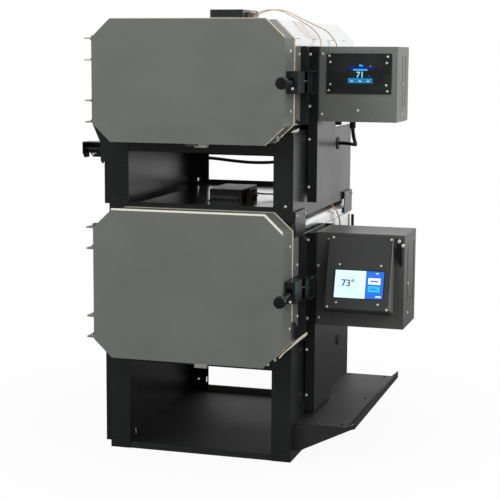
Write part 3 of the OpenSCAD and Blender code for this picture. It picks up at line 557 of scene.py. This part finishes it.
def screw_head():
    """A domed head with a sunk socket, 1 m in radius, standing on z = 0."""
    bpy.ops.mesh.primitive_cylinder_add(vertices=24, radius=1, depth=0.5, location=(0, 0, 0.25))
    piece = settled(bpy.context.object)

    def top(face):
        return face.normal.z > 0.9

    bpy.ops.object.mode_set(mode="EDIT")
    pick(piece, top)
    bpy.ops.mesh.inset(thickness=0.32)
    bpy.ops.transform.translate(value=(0, 0, 0.22))
    bpy.ops.mesh.inset(thickness=0.24)
    bpy.ops.transform.translate(value=(0, 0, 0.06))
    bpy.ops.mesh.extrude_region_move(TRANSFORM_OT_translate={"value": (0, 0, -0.38)})
    bpy.ops.object.mode_set(mode="OBJECT")
    return softened(piece, 60)


HEAD = screw_head()
TO_FRONT, TO_RIGHT, TO_TOP = (0, -1, 0), (1, 0, 0), (0, 0, 1)
OUT_OF_CUT_CORNER = (0.688, 0, -0.725)
OVEN_SIDE = 204.5
BOX_FRONT = 199
POST_FRONT = 85
DUCT_FRONT = 188


def screws(name, facing, spots, radius, material=ZINC, body=STAND):
    """One piece that holds a copy of the screw head at each spot."""
    turn = Vector(facing).to_track_quat("Z", "Y").to_matrix().to_4x4()
    pieces = []
    for spot in spots:
        mesh = HEAD.data.copy()
        mesh.transform(Matrix.Translation(at(*spot)) @ turn @ Matrix.Scale(mm(radius), 4))
        pieces.append(bpy.data.objects.new(name, mesh))
        bpy.context.collection.objects.link(pieces[-1])
    return finished(joined(pieces), name, material, body)


def screw_rows():
    """Rows of screws: name, facing, places, radius, and a finish or a door where they have one."""
    side = [(OVEN_SIDE, y, z) for y, z in ((106, 845), (108, 415), (113, 307))]
    yield "side_cover_screws", TO_RIGHT, side, 3.2
    yield "upper_door_screws", TO_RIGHT, [(203, 42.5, 851), (203, 48.5, 732.5)], 3.4, ZINC, "upper_door"
    yield "lower_door_screws", TO_RIGHT, [(203, 54, 459.5), (203, 56, 290)], 3.4, ZINC, "lower_door"
    duct = [(207.6, z) for z in (845.3, 737.9, 669, 569.1, 457.2, 288.7, 220.7, 121)]
    duct += [(201.6, z) for z in (737.9, 457.2)]
    yield "duct_screws", TO_FRONT, [(x, DUCT_FRONT, z) for x, z in duct], 3.0
    posts = [(-185.3, 26.3), (184.6, 26), (-191, 541.8), (-185.2, 537.7)]
    posts += [(-164.6, 541.9), (164.9, 541.6), (192.4, 542.7)]
    yield "stand_dark_screws", TO_FRONT, [(x, POST_FRONT, z) for x, z in posts], 2.6, DARK_SCREW
    yield "stand_bright_screw", TO_FRONT, [(185.3, POST_FRONT, 537.4)], 3.0
    tabs = [(206.5, y, z) for y, z in ((96, 517.6), (162, 516.6), (554, 518), (613, 516.6))]
    yield "tab_screws", TO_RIGHT, tabs, 3.2
    corner = [(179.6, 34.3, 681.2), (180.1, 66, 681.7), (171.5, 68, 673.6)]
    yield "upper_door_edge_bolts", OUT_OF_CUT_CORNER, corner, 3.4, ZINC, "upper_door"
    yield "lower_corner_bolts", TO_FRONT, [(150.3, 86.5, 205.4), (165.6, 86.5, 216.6)], 3.2
    yield "rail_bolts", TO_FRONT, [(147.3, 87, 654.2), (121.6, 87, 654.2)], 3.0, DARK_SCREW
    panel = [(246, 842.4), (248.3, 829.5), (369.1, 841), (366.9, 828.3)]
    panel += [(248.5, 783.8), (245.5, 771.4), (366.4, 782.8), (368.9, 770.6)]
    yield "upper_panel_screws", TO_FRONT, [(x, BOX_FRONT - 2, z) for x, z in panel], 2.4
    flange = [(231, 845.8), (231, 721.7), (307.4, 730.2), (228, 401.7), (230.3, 290.4)]
    yield "control_case_screws", TO_FRONT, [(x, BOX_FRONT, z) for x, z in flange], 2.9
    dimples = [(244.8, 853.6), (335, 852.3), (242.4, 714.3), (333.6, 713.2)]
    yield "case_rivets", TO_FRONT, [(x, BOX_FRONT, z) for x, z in dimples], 1.9, CASE_GREY
    yield "lower_case_side_screws", TO_RIGHT, [(412, 242, 366.9), (412, 243.6, 303.2)], 2.8
    yield "upper_case_side_screws", TO_RIGHT, [(389, 257.8, 783.1), (389, 256.8, 721.4)], 2.6


# Displays


LIT_FRONT, LIT_BACK = 195.95, 196.25


def lit_field(piece, name, material_name, colour):
    """Names a field of a display and lights it in a screen colour."""
    return finished(piece, name, glowing(material_name, shade(*colour)))


def screen_bar(x0, x1, z0, z1, front=LIT_FRONT, back=LIT_BACK, bevel=0.1):
    """A flat field on the upper display, in front of its glass."""
    return block((x0, front, z0), (x1, back, z1), bevel)


def screen_dot(x, z, radius):
    """A round mark on the upper display."""
    return rod((x, LIT_FRONT, z), (x, LIT_BACK, z), radius, 0.08)


def digits(words, size, place, turn):
    """Plain figures made into a mesh, centred on a place."""
    bpy.ops.object.text_add(location=at(*place), rotation=turn)
    text = bpy.context.object
    text.data.body = words
    text.data.size = mm(size)
    text.data.extrude = mm(0.12)
    text.data.bevel_depth = mm(0.04)
    text.data.offset = mm(0.3)
    text.data.align_x = "CENTER"
    text.data.align_y = "CENTER"
    alone(text)
    bpy.ops.object.convert(target="MESH")
    return bpy.context.object


def upper_display():
    """Dark touch screen with a status bar, a reading and three buttons."""
    status = screen_bar(286, 339.6, 816.2, 819.4)
    lit_field(status, "upper_screen_status_bar", "upper_screen_status_bar_light", (25, 25, 170))
    title = screen_bar(297, 327, 812.6, 815.6)
    lit_field(title, "upper_screen_title", "upper_screen_title_light", (60, 190, 235))
    dots = joined([screen_dot(311.5, 823, 2.6), screen_dot(316, 822.4, 1.8)])
    lit_field(dots, "upper_screen_status_dots", "status_blue", (40, 170, 235))
    lit_field(screen_dot(332.7, 821.7, 1.2), "upper_screen_ready_dot", "ready_green", (60, 230, 90))
    face_on = (math.radians(90), 0, 0)
    reading = digits("71", 16.5, (311.7, LIT_FRONT, 803.6), face_on)
    lit_field(reading, "upper_screen_reading", "reading_light", (150, 225, 245))
    lit_field(screen_dot(330.3, 801.4, 1.1), "upper_screen_mark", "mark_blue", (50, 120, 240))
    buttons, boxes, marks = [], [], []
    for k in range(3):
        x0 = 286.4 + 17.4 * k
        buttons.append(screen_bar(x0, x0 + 16.2, 787, 796.6))
        boxes.append(screen_bar(x0 + 1.8, x0 + 14.4, 788.4, 793.6, 195.85, 196, 0.05))
        marks.append(screen_bar(x0 + 4, x0 + 11.6, 790, 792, 195.75, 195.9, 0.05))
    lit_field(joined(buttons), "upper_screen_buttons", "button_cyan", (20, 150, 210))
    lit_field(joined(boxes), "upper_screen_button_boxes", "button_box", (14, 70, 120))
    lit_field(joined(marks), "upper_screen_button_marks", "button_mark", (190, 232, 245))


WEDGE_TILT = math.atan2(46, 156)
WEDGE_TOP = (196, 467.5)


def on_wedge(x, down, out=0.0):
    """A place on the sloping display housing, so far down the slope and out of its face."""
    s, c = math.sin(WEDGE_TILT), math.cos(WEDGE_TILT)
    y, z = WEDGE_TOP
    return (x, y - down * s - out * c, z - down * c + out * s)


def sloped(name, low, high, out, thick, material, bevel=0.1):
    """A thin field on the slope between two corners given as right and down."""
    (x0, d0), (x1, d1) = low, high
    corners = [on_wedge(x, d, out) for x, d in ((x0, d0), (x1, d0), (x1, d1), (x0, d1))]
    lift = Vector(on_wedge(0, 0, thick)) - Vector(on_wedge(0, 0, 0))
    return finished(plate(corners, lift, bevel), name, material)


def lower_display():
    """Housing with a sloping face, a light screen, its figures and two buttons."""
    x0, x1 = 252, 388
    y, z = WEDGE_TOP
    foot = on_wedge(0, 154)
    section = [
        (BOX_FRONT, z), (y, z), foot[1:], (foot[1] + 4, foot[2] - 6), (BOX_FRONT, foot[2] - 16),
    ]
    bracket = drawn_x(393, 395, [(BOX_FRONT, z - 2), (190, z - 20), (BOX_FRONT, z - 58)])
    hood = drawn_x(x0, x1, section, 1.2)
    finished(
        joined([hood, bracket]), "lower_sloped_housing", HOOD,
        hides=["lower_display_housing"],
    )
    # The hood's right side, in a lighter grey than the hood: painted light on that face
    cheek = drawn_x(387.9, 390, [(198.8, 465), (190, 462), (154.6, 322), (198.8, 306)], 0.3)
    finished(cheek, "lower_housing_painted_light_side", DOOR_GREY)
    outline = [(393.9, 467.2), (406.0, 462.5), (407.1, 409.0), (403.6, 408.2), (395.8, 426.4)]
    web = sheet_xz(195.5, 2, outline)
    finished(web, "lower_housing_web", KNOB)
    screws("housing_web_bolts", TO_FRONT, [(401.2, 195.5, 461.4), (409.4, 195.5, 452.9)], 3.8)
    screws("housing_corner_screw", TO_FRONT, [(250.6, BOX_FRONT, 459.7)], 3.0)
    edges = [
        block((411.8, 240.5, 330), (412.3, 242.3, 454), 0.1),
        block((411.8, 241, 453), (412.3, 330, 454.4), 0.1),
        block((411.8, 250, 328.6), (412.3, 334, 330), 0.1),
    ]
    finished(joined(edges), "lower_case_recess_lines", KNOB)
    sloped("lower_screen_rim", (269.6, 70.3), (377, 131.5), 0, 0.9, BEZEL, 0.4)
    pale = glowing("pale_screen", shade(222, 253, 252))
    blue = glowing("blue_screen", shade(16, 108, 226))
    white = glowing("screen_white", shade(238, 248, 255))
    sloped("lower_screen_pale_part", (271.5, 72), (337, 130), 0.9, 0.15, pale)
    sloped("lower_screen_blue_part", (337, 72), (374.6, 129.6), 0.9, 0.15, blue)
    sloped("lower_screen_white_button", (342.3, 86), (368.3, 99.6), 1.0, 0.2, white)
    cyan = glowing("screen_cyan", shade(45, 190, 250))
    sloped("lower_screen_cyan_button", (342.6, 103), (367.8, 115.6), 1.0, 0.2, cyan)
    sloped("lower_screen_status_mark", (357.6, 75.4), (363.2, 77.6), 1.0, 0.2, white)
    sloped("lower_screen_menu_mark", (359.6, 123.4), (371.4, 126.4), 1.0, 0.2, white)
    sloped("lower_screen_white_button_mark", (347, 91.4), (363, 94.4), 1.15, 0.15, blue)
    sloped("lower_screen_cyan_button_mark", (347, 108.4), (362, 110.8), 1.15, 0.15, blue)
    tilt = (math.radians(90) - WEDGE_TILT, 0, 0)
    bpy.ops.mesh.primitive_torus_add(
        location=at(*on_wedge(304, 100, 0.7)), rotation=tilt, major_radius=0.0135,
        minor_radius=0.0006, major_segments=64, minor_segments=8,
    )
    mist = glowing("screen_mist", shade(150, 226, 240))
    finished(bpy.context.object, "lower_screen_ring", mist)
    number = digits("73°", 20, on_wedge(299.5, 99.5, 1.15), tilt)
    lit_field(number, "lower_screen_reading", "reading_dark", (20, 52, 125))
    s, c = math.sin(WEDGE_TILT), math.cos(WEDGE_TILT)
    outwards = (0, -c, s)
    display = [on_wedge(x, d) for x, d in ((278.6, 60.1), (367.2, 59.7), (277.2, 140.8), (365.7, 141))]
    screws("lower_display_screws", outwards, display, 2.3)
    corner = [on_wedge(x, d) for x, d in ((261.8, 3.4), (385, 3.6), (258.4, 150.6), (384.6, 151))]
    screws("lower_housing_screws", outwards, corner, 2.6)


for row in screw_rows():
    screws(*row)
lower_display()
upper_display()


# Finer pieces, at their places in the photograph


def roof_pieces():
    """Cover over each thermocouple's head, the ceramic block beside it and its terminals."""
    for oven in OVENS:
        roof = ROOF[oven]
        x0, x1, y0, y1, h = -34, 40, 255, 375, 26
        top = block((x0, y0, roof), (x1, y1, roof + h), 1.6)
        feet = [
            block((x0, y0 - 12, roof), (x1, y0 + 1, roof + 1.6), 0.4),
            block((x0, y1 - 1, roof), (x1, y1 + 12, roof + 1.6), 0.4),
        ]
        finished(
            joined([top, *feet]), oven + "_roof_cover", COVER,
            hides=[oven + "_probe_cover"],
        )
        spots = [(x, y, roof + 1.6) for x in (x0 + 10, x1 - 10) for y in (y0 - 6, y1 + 6)]
        screws(oven + "_roof_cover_screws", TO_TOP, spots, 3.0, DARK_SCREW)
        # A pale plate over the dark cover's top: painted reflection
        sheen = block((x0 + 1, y0 + 1, roof + h - 0.5), (x1 - 1, y1 - 1, roof + h + 0.3), 0.2)
        finished(sheen, oven + "_roof_cover_top", PAINTED_REFLECTION_TOP)
        strap = block((x0 + 3, y0 - 0.7, roof + 5), (x1 - 8, y0 + 0.4, roof + 10), 0.3)
        finished(strap, oven + "_roof_cover_strap", CASE_DARK)
        # Head block in dark brown: painted shade
        body = block((12, 293, roof), (52, 337, roof + 20), 1.5)
        finished(body, oven + "_head_block", HEAD_BLOCK_SHADE, hides=[oven + "_probe"])
        bores = [rod((50, y, roof + 13), (52.6, y, roof + 13), 3.4, 0.6) for y in (306, 324)]
        finished(joined(bores), oven + "_head_bushes", ZINC)
        screws(oven + "_terminal_screws", TO_TOP, [(46, y, roof + 20) for y in (306, 324)], 3.2)


LEADS = {
    "lower_head_lead": [
        (50, 324, 13), (74, 346, 9), (106, 382, 8), (150, 410, 8), (183, 424, -2),
        (203, 450, -26), (211, 466, -52), (211, 470, -74), (211, 468, -100),
    ],
    "lower_second_lead": [
        (50, 306, 13), (80, 332, 9), (112, 372, 8), (154, 402, 8), (186, 419, -3),
        (206, 446, -28), (214, 461, -53), (214, 465, -74), (214, 463, -100),
    ],
    "upper_head_lead": [
        (50, 306, 14), (66, 298, 22), (90, 280, 26), (122, 258, 24), (152, 238, 12),
        (172, 240, 2), (196, 262, -16), (210, 268, -36), (214, 254, -51), (214, 246, -70), (214, 244, -100),
    ],
    "upper_second_lead": [
        (50, 324, 14), (72, 320, 24), (104, 306, 28), (136, 288, 20), (164, 286, 6),
        (186, 306, -6), (204, 352, -18), (211, 402, -40), (212, 416, -54), (211, 418, -74), (211, 416, -100),
    ],
}


def lay_leads():
    """Sleeved leads from each head block over the roof's edge, their corners rounded off."""
    for name, points in LEADS.items():
        oven = name.partition("_")[0]
        route = [Vector(p) + Vector((0, 0, ROOF[oven])) for p in points]
        for _ in range(3):
            cut = [route[0]]
            for a, b in zip(route, route[1:]):
                cut += [a * 0.75 + b * 0.25, a * 0.25 + b * 0.75]
            route = [*cut, route[-1]]
        lead = cord_along(name, route, 2.2, SLEEVE)
        if name.endswith("head_lead"):
            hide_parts(oven + "_probe_lead")


def cradle_plates():
    """Bent angles under the ovens' cut lower corners, closed at the front."""
    t, lean, foot, xv = 2, 37.5 / 39.5, FLAT_HALF, 199
    pieces = []
    for low in FLOOR.values():
        top = low + 24 - 0.4
        xc = foot + 24 / lean
        for side in (-1, 1):
            angle = [
                (foot + 6, low + 6 * lean - 0.4), (xc, top), (xv, top), (xv, low - 5),
                (xv - t, low - 5), (xv - t, top - t), (xc + t, top - t), (foot + 6, low + 6 * lean - 3),
            ]
            pieces.append(sheet_xz(89, 527, [(side * x, z) for x, z in angle], 0.3))
            end = [
                (foot + 7, low + 4), (xc + t, top - t - 0.2), (xv - t - 0.2, top - t - 0.2),
                (xv - t - 0.2, low - 5), (foot + 7, low - 5),
            ]
            pieces.append(sheet_xz(89, 2, [(side * x, z) for x, z in end], 0.3))
    finished(joined(pieces), "cradle_angles", BLACK_COAT, hides=["cradles"])


def hanger():
    """Hooded bracket with its round bar at the upper tier's left front."""
    x0, x1, y0, z1, t = -262, -201, 86, 659, 2
    pieces = [
        sheet_xz(y0 + 34, t, [(x0, z1), (x1, z1), (x1, z1 - 34), (x0 + 10, z1 - 34), (x0, z1 - 22)]),
        sheet_xz(y0 + 1, t, [
            (x1, z1), (x1 - 21, z1), (x1 - 38, z1 + 38), (x1 - 6, z1 + 38), (x1 - 6, z1 + 23), (x1, z1 + 20)
        ]),
        sheet_xz(y0 + 1, t, [
            (x1, z1 - t), (x1 - 20, z1 - t), (x1 - 20, z1 - 40), (x1 - 15, z1 - 46),
            (x1 - 12, z1 - 41), (x1, z1 - 40),
        ]),
        block((x0, y0, z1 - t), (x1, y0 + 34, z1), 0.5),
        drawn_x(x0, x0 + t, [
            (y0, z1 - t), (y0, z1 - 24), (y0 + 10, z1 - 34), (y0 + 34, z1 - 34), (y0 + 34, z1 - t)
        ]),
    ]
    finished(joined(pieces), "hooded_bracket", BLACK_COAT, hides=["hanger_bracket"])
    bar = rod((x0 + t, y0 + 14, z1 - 15), (x1, y0 + 14, z1 - 15), 4)
    finished(bar, "bracket_bar", DARK_SCREW)
    screws("bracket_bolt", TO_FRONT, [(-246, 119.9, 633)], 2.6)


def shelf():
    """Side shelf with its slanted lip, wall flange and two gussets."""
    x0, x1, z, t, lip = 201, 316, 78, 2, 14
    y0, y1 = 112, 602
    xl = x1 + lip + 1
    section = [
        (x0, z - t), (x1, z - t), (xl - t, z + lip - t - 2.5), (xl - t, z - t - 1), (xl, z - t - 1),
        (xl, z + lip), (x1 - 1, z), (x0, z),
    ]
    pieces = [sheet_xz(y0, y1 - y0, section, 0.5), block((x0, y0, z - 59), (x0 + t, y1, z - t), 0.4)]
    for y in (y0, y1 - t):
        pieces.append(sheet_xz(y, t, [
            (x0 + t, z - t), (x0 + t, z - 59), (x0 + 12, z - 59), (x1 + lip / 2, z - t - 3),
            (xl - t, z - t - 1), (xl - t, z + lip - t - 3), (x1, z - t)
        ]))
    finished(joined(pieces), "shelf_with_lip", SHELF_COAT, hides=["side_shelf"])
    spots = [(x, y, z) for x, y in ((215, 590), (300, 590), (300, 369), (300, 132), (215, 138))]
    screws("shelf_bolts", TO_TOP, spots, 2.6, DARK_SCREW)


def latch_pieces():
    """End of each strike pin, the screw beside each latch, the upper latch's side plate."""
    for oven in OVENS:
        z = MIDDLE[oven]
        if oven == "upper":
            side = block((225.9, 17, z - 20.5), (226.4, 70, z + 20.5), 0.2)
            finished(side, "upper_latch_side_plate", HOOD, "upper_door")
        pin = rod((222.6, 84, z + 1.5), (230.2, 84, z + 1.5), 1.5)
        finished(pin, oven + "_strike_pin_end", ZINC)
        below = 12 if oven == "upper" else 18
        under = [(216, 15, z - below)]
        screws(oven + "_latch_front_screw", TO_FRONT, under, 2.8, body=oven + "_door")


def case_pieces():
    """Deeper back of the upper control case, its side slot, and the glands under it."""
    back = block((225.3, 310.6, 706.8), (388.6, 329, 861.2), 0.8)
    finished(back, "upper_case_back_part", CASE_GREY)
    seam = block((388.8, 260.4, 723), (389.15, 262.4, 843), 0.15)
    finished(seam, "upper_case_side_slot", KNOB)
    gland = rod((249.5, 275, 696), (249.5, 275, 706.6), 7, 1.2)
    relief = rod((285, 255, 690), (285, 255, 706.6), 6.4, 2.4)
    finished(joined([gland, relief]), "upper_case_glands", RUBBER)


def door_boards():
    """Ceramic board behind each door skin; its lip shows above the skin and on its right."""
    corner, slant = 36.06, 0.725
    for oven, lip, under in (("lower", 3.6, 0), ("upper", 1.2, 1.2)):
        low, high, side = FLOOR[oven], ROOF[oven], 201.5
        drop = corner - lip / slant
        rise = corner - under / slant if under else 38.5
        outline = [
            (-FLAT_HALF, high + lip), (FLAT_HALF + 0.4 * lip, high + lip), (side, high - drop),
            (side, low + rise), (FLAT_HALF + under, low), (-FLAT_HALF, low + 1.5),
            (-side, low + 38.5), (-side, high - 38.5),
            (-FLAT_HALF - 1, high - 1.5), (-FLAT_HALF, high - 1.5),
        ]
        board = sheet_xz(1.5, 5, outline, 0.3)
        finished(
            board, oven + "_board_and_lip", PALE_BOARD_AND_GLINT if oven == "lower" else BOARD,
            oven + "_door", [oven + "_door_boards"],
        )


def gaskets():
    """Cream board over the whole back of each door, where the gasket lies."""
    for oven in OVENS:
        low, high, side, cut = FLOOR[oven] + 1, ROOF[oven] - 1, 203.4, 36.8
        outline = [
            (-FLAT_HALF, high), (FLAT_HALF, high), (side, high - cut), (side, low + cut),
            (FLAT_HALF, low), (-FLAT_HALF, low), (-side, low + cut), (-side, high - cut),
        ]
        gasket = sheet_xz(77.8, 3.8, outline, 0.5)
        finished(gasket, oven + "_front_gasket", BOARD, oven + "_door")


def bay_pieces():
    """Sheets behind the bays, lines on the roof's bend, and holes that show white."""
    cover = sheet_xz(617, 1, [(-199, 505), (-150, 505), (-150, 530), (-199, 530)], 0.2)
    sill = sheet_xz(611, 0.8, [(-154.5, 2.2), (154.5, 2.2), (154.5, 17.6), (-154.5, 17.6)], 0.2)
    edge = sheet_xz(618.8, 1, [(205, 380), (212, 380), (212, 465), (205, 465)], 0.3)
    finished(joined([cover, edge]), "rear_frame_parts", BLACK_COAT)
    finished(sill, "tray_rear_sill", CASE_GREY)
    places = (100, 240, 400, 520)
    slots = [block((202.2, y - 17, 875.9), (203.5, y + 17, 876.9), 0.2) for y in places]
    finished(joined(slots), "shell_bend_slots", KNOB)
    # A small bright bar by the tray's side: a painted glint
    clip = block((-154, 109, 27), (-152.4, 110, 39), 0.2)
    finished(clip, "tray_side_painted_glint", ZINC)
    holes = [rod((x, 609.8, z), (x, 610.4, z), 1.5, 0.2) for x, z in HOLES_SEEN]
    holes.append(block((204.9, 187.5, 822), (206.2, 188, 830), 0.2))
    holes.append(block((-158.2, 609.8, 26), (-156.6, 610.4, 40), 0.2))
    finished(joined(holes), "holes_that_show_light", HOLE_LIGHT)


def corner_pieces():
    """Bright sheet past the side covers and behind the ducts, painted glints at the cut corners, the door
    stops.
    """
    fields = [
        [(72, 302), (96.4, 297.3), (121, 281.7), (124, 256.5), (72, 256.5)],
        [(84, 717), (98.7, 712.6), (118, 709.8), (118, 705), (84, 706)],
    ]
    bright = [plate([(204.6, y, z) for y, z in field], (0.4, 0, 0), 0.1) for field in fields]
    for top in DUCT_TOP.values():
        bright.append(block((204.4, 357, top - 178), (204.9, 590, top - 0.5), 0.2))
    finished(joined(bright), "shell_side_parts", BRIGHT)
    # Pale strips by the cut corners and the hanger: painted glints where the sheets would mirror the light
    # behind
    strip = [
        (173, 220.9), (176.9, 227.1), (201.2, 250.7), (216, 266.6), (233.8, 280.8),
        (234.5, 275.2), (219.2, 261.6), (202.3, 246.6), (187.5, 233.8), (175.6, 220.1),
    ]
    glint = [(193.9, 687.7), (199.5, 692.8), (211.5, 697.1), (210.4, 690.3), (204.7, 688.9)]
    glint_sheets = [sheet_xz(84, 1.2, strip, 0.3), sheet_xz(88, 0.9, glint, 0.2)]
    left = [(-239.2, 636.4), (-236, 635.4), (-233.6, 631.7), (-237.8, 633)]
    glint_sheets.append(sheet_xz(84, 1, left, 0.2))
    finished(joined(glint_sheets), "corner_painted_glints", PALE_BOARD_AND_GLINT)
    for oven in OVENS:
        z = FLOOR[oven]
        drop = 17.5 if oven == "lower" else 9.5
        stop = block((5, 37, z - drop), (32, 50, z - 2.6), 0.8)
        finished(stop, oven + "_door_stop", ZINC, oven + "_door")


roof_pieces()
lay_leads()
cradle_plates()
hanger()
shelf()
latch_pieces()
case_pieces()
door_boards()
gaskets()
bay_pieces()
corner_pieces()
bpy.data.objects.remove(HEAD)


# Light, floor and backdrop


def white_stage():
    """A pale floor that keeps a soft shadow near the object, and an even white all round; in reflections it
    glows with painted shade, dim near the object and towards the front.
    """
    bpy.ops.mesh.primitive_plane_add(size=30, location=(0, 0, -0.0004))
    floor = bpy.context.object
    floor.name = "floor"
    finish = Finish("pale_floor", roughness=0.9, specular=0.1)
    finish.feed(Base_Color=(0.62, 0.62, 0.62))
    away = finish.add("ShaderNodeVectorMath", {"operation": "LENGTH"}, {0: finish.place}, "Value")
    white = finish.add("ShaderNodeEmission", None, {"Color": (1, 1, 1), "Strength": 1.0}, "Emission")
    seen = finish.add("ShaderNodeLightPath", output="Is Camera Ray")
    shine = finish.add("ShaderNodeLightPath", output="Is Glossy Ray")
    share = finish.between(away, 0.35, 1.0, 0.94, 1.0)
    plain = Wire(finish, finish.shader.outputs[0])
    both = finish.add("ShaderNodeMixShader", None, {0: seen * share, 1: plain, 2: white})
    depth = finish.add("ShaderNodeSeparateXYZ", None, {0: finish.place}, "Y")
    # In reflections the floor glows dimly near the object and towards the front: painted shade
    painted_shade_level = finish.between(away, 1.0, 5.0, 0.12, 1.0) * finish.between(depth, -3.5, 1.0, 0.15, 1.0)
    sheen = finish.add("ShaderNodeEmission", None, {"Color": (1, 1, 1), "Strength": painted_shade_level}, "Emission")
    both = finish.add("ShaderNodeMixShader", None, {0: shine, 1: both, 2: sheen})
    out = next(n for n in finish.tree.nodes if n.type == "OUTPUT_MATERIAL")
    finish.tree.links.new(both.socket, out.inputs["Surface"])
    floor.data.materials.append(finish.material)


class Sky(Finish):
    """The world: white where it is seen, dimmer ahead of the object and for its light."""

    def __init__(self, plain, ahead):
        world = bpy.data.worlds.new("studio")
        bpy.context.scene.world = world
        world.use_nodes = True
        self.tree = world.node_tree
        self.tree.nodes.clear()
        self.place = self.add("ShaderNodeTexCoord", output="Generated")
        seen = self.add("ShaderNodeLightPath", output="Is Camera Ray")
        shine = self.add("ShaderNodeLightPath", output="Is Glossy Ray")
        back = self.add("ShaderNodeSeparateXYZ", None, {0: self.place}, "Y")
        up = self.add("ShaderNodeSeparateXYZ", None, {0: self.place}, "Z")
        level = self.between(back, -0.75, 0.15, ahead, 1.0) + self.between(up, 0.1, 0.4, 0.0, 0.8)
        level = level.sum("MINIMUM", 1.0)
        lit = shine * (level - plain) + plain
        strength = seen * (1 - lit) + lit
        ground = self.add("ShaderNodeBackground", None, {"Color": (1, 1, 1), "Strength": strength})
        out = self.tree.nodes.new("ShaderNodeOutputWorld")
        self.tree.links.new(ground.socket, out.inputs["Surface"])


def lamp(name, place, target, power, size):
    """A square lamp that lights the object and isn't mirrored in it."""
    bpy.ops.object.light_add(type="AREA", location=at(*place))
    light = bpy.context.object
    light.name = name
    light.data.energy = power
    light.data.size = size
    light.rotation_euler = (at(*place) - at(*target)).to_track_quat("Z", "Y").to_euler()
    light.visible_glossy = False


white_stage()
Sky(plain=0.38, ahead=0.2)
lamp("key_left", (-1500, -2200, 2000), (0, 0, 450), 50, 1.6)
lamp("fill_right", (2300, -900, 1500), (100, 250, 450), 36, 1.8)
lamp("top", (200, 400, 2600), (0, 300, 500), 20, 1.8)
bpy.context.scene.view_settings.view_transform = "Standard"
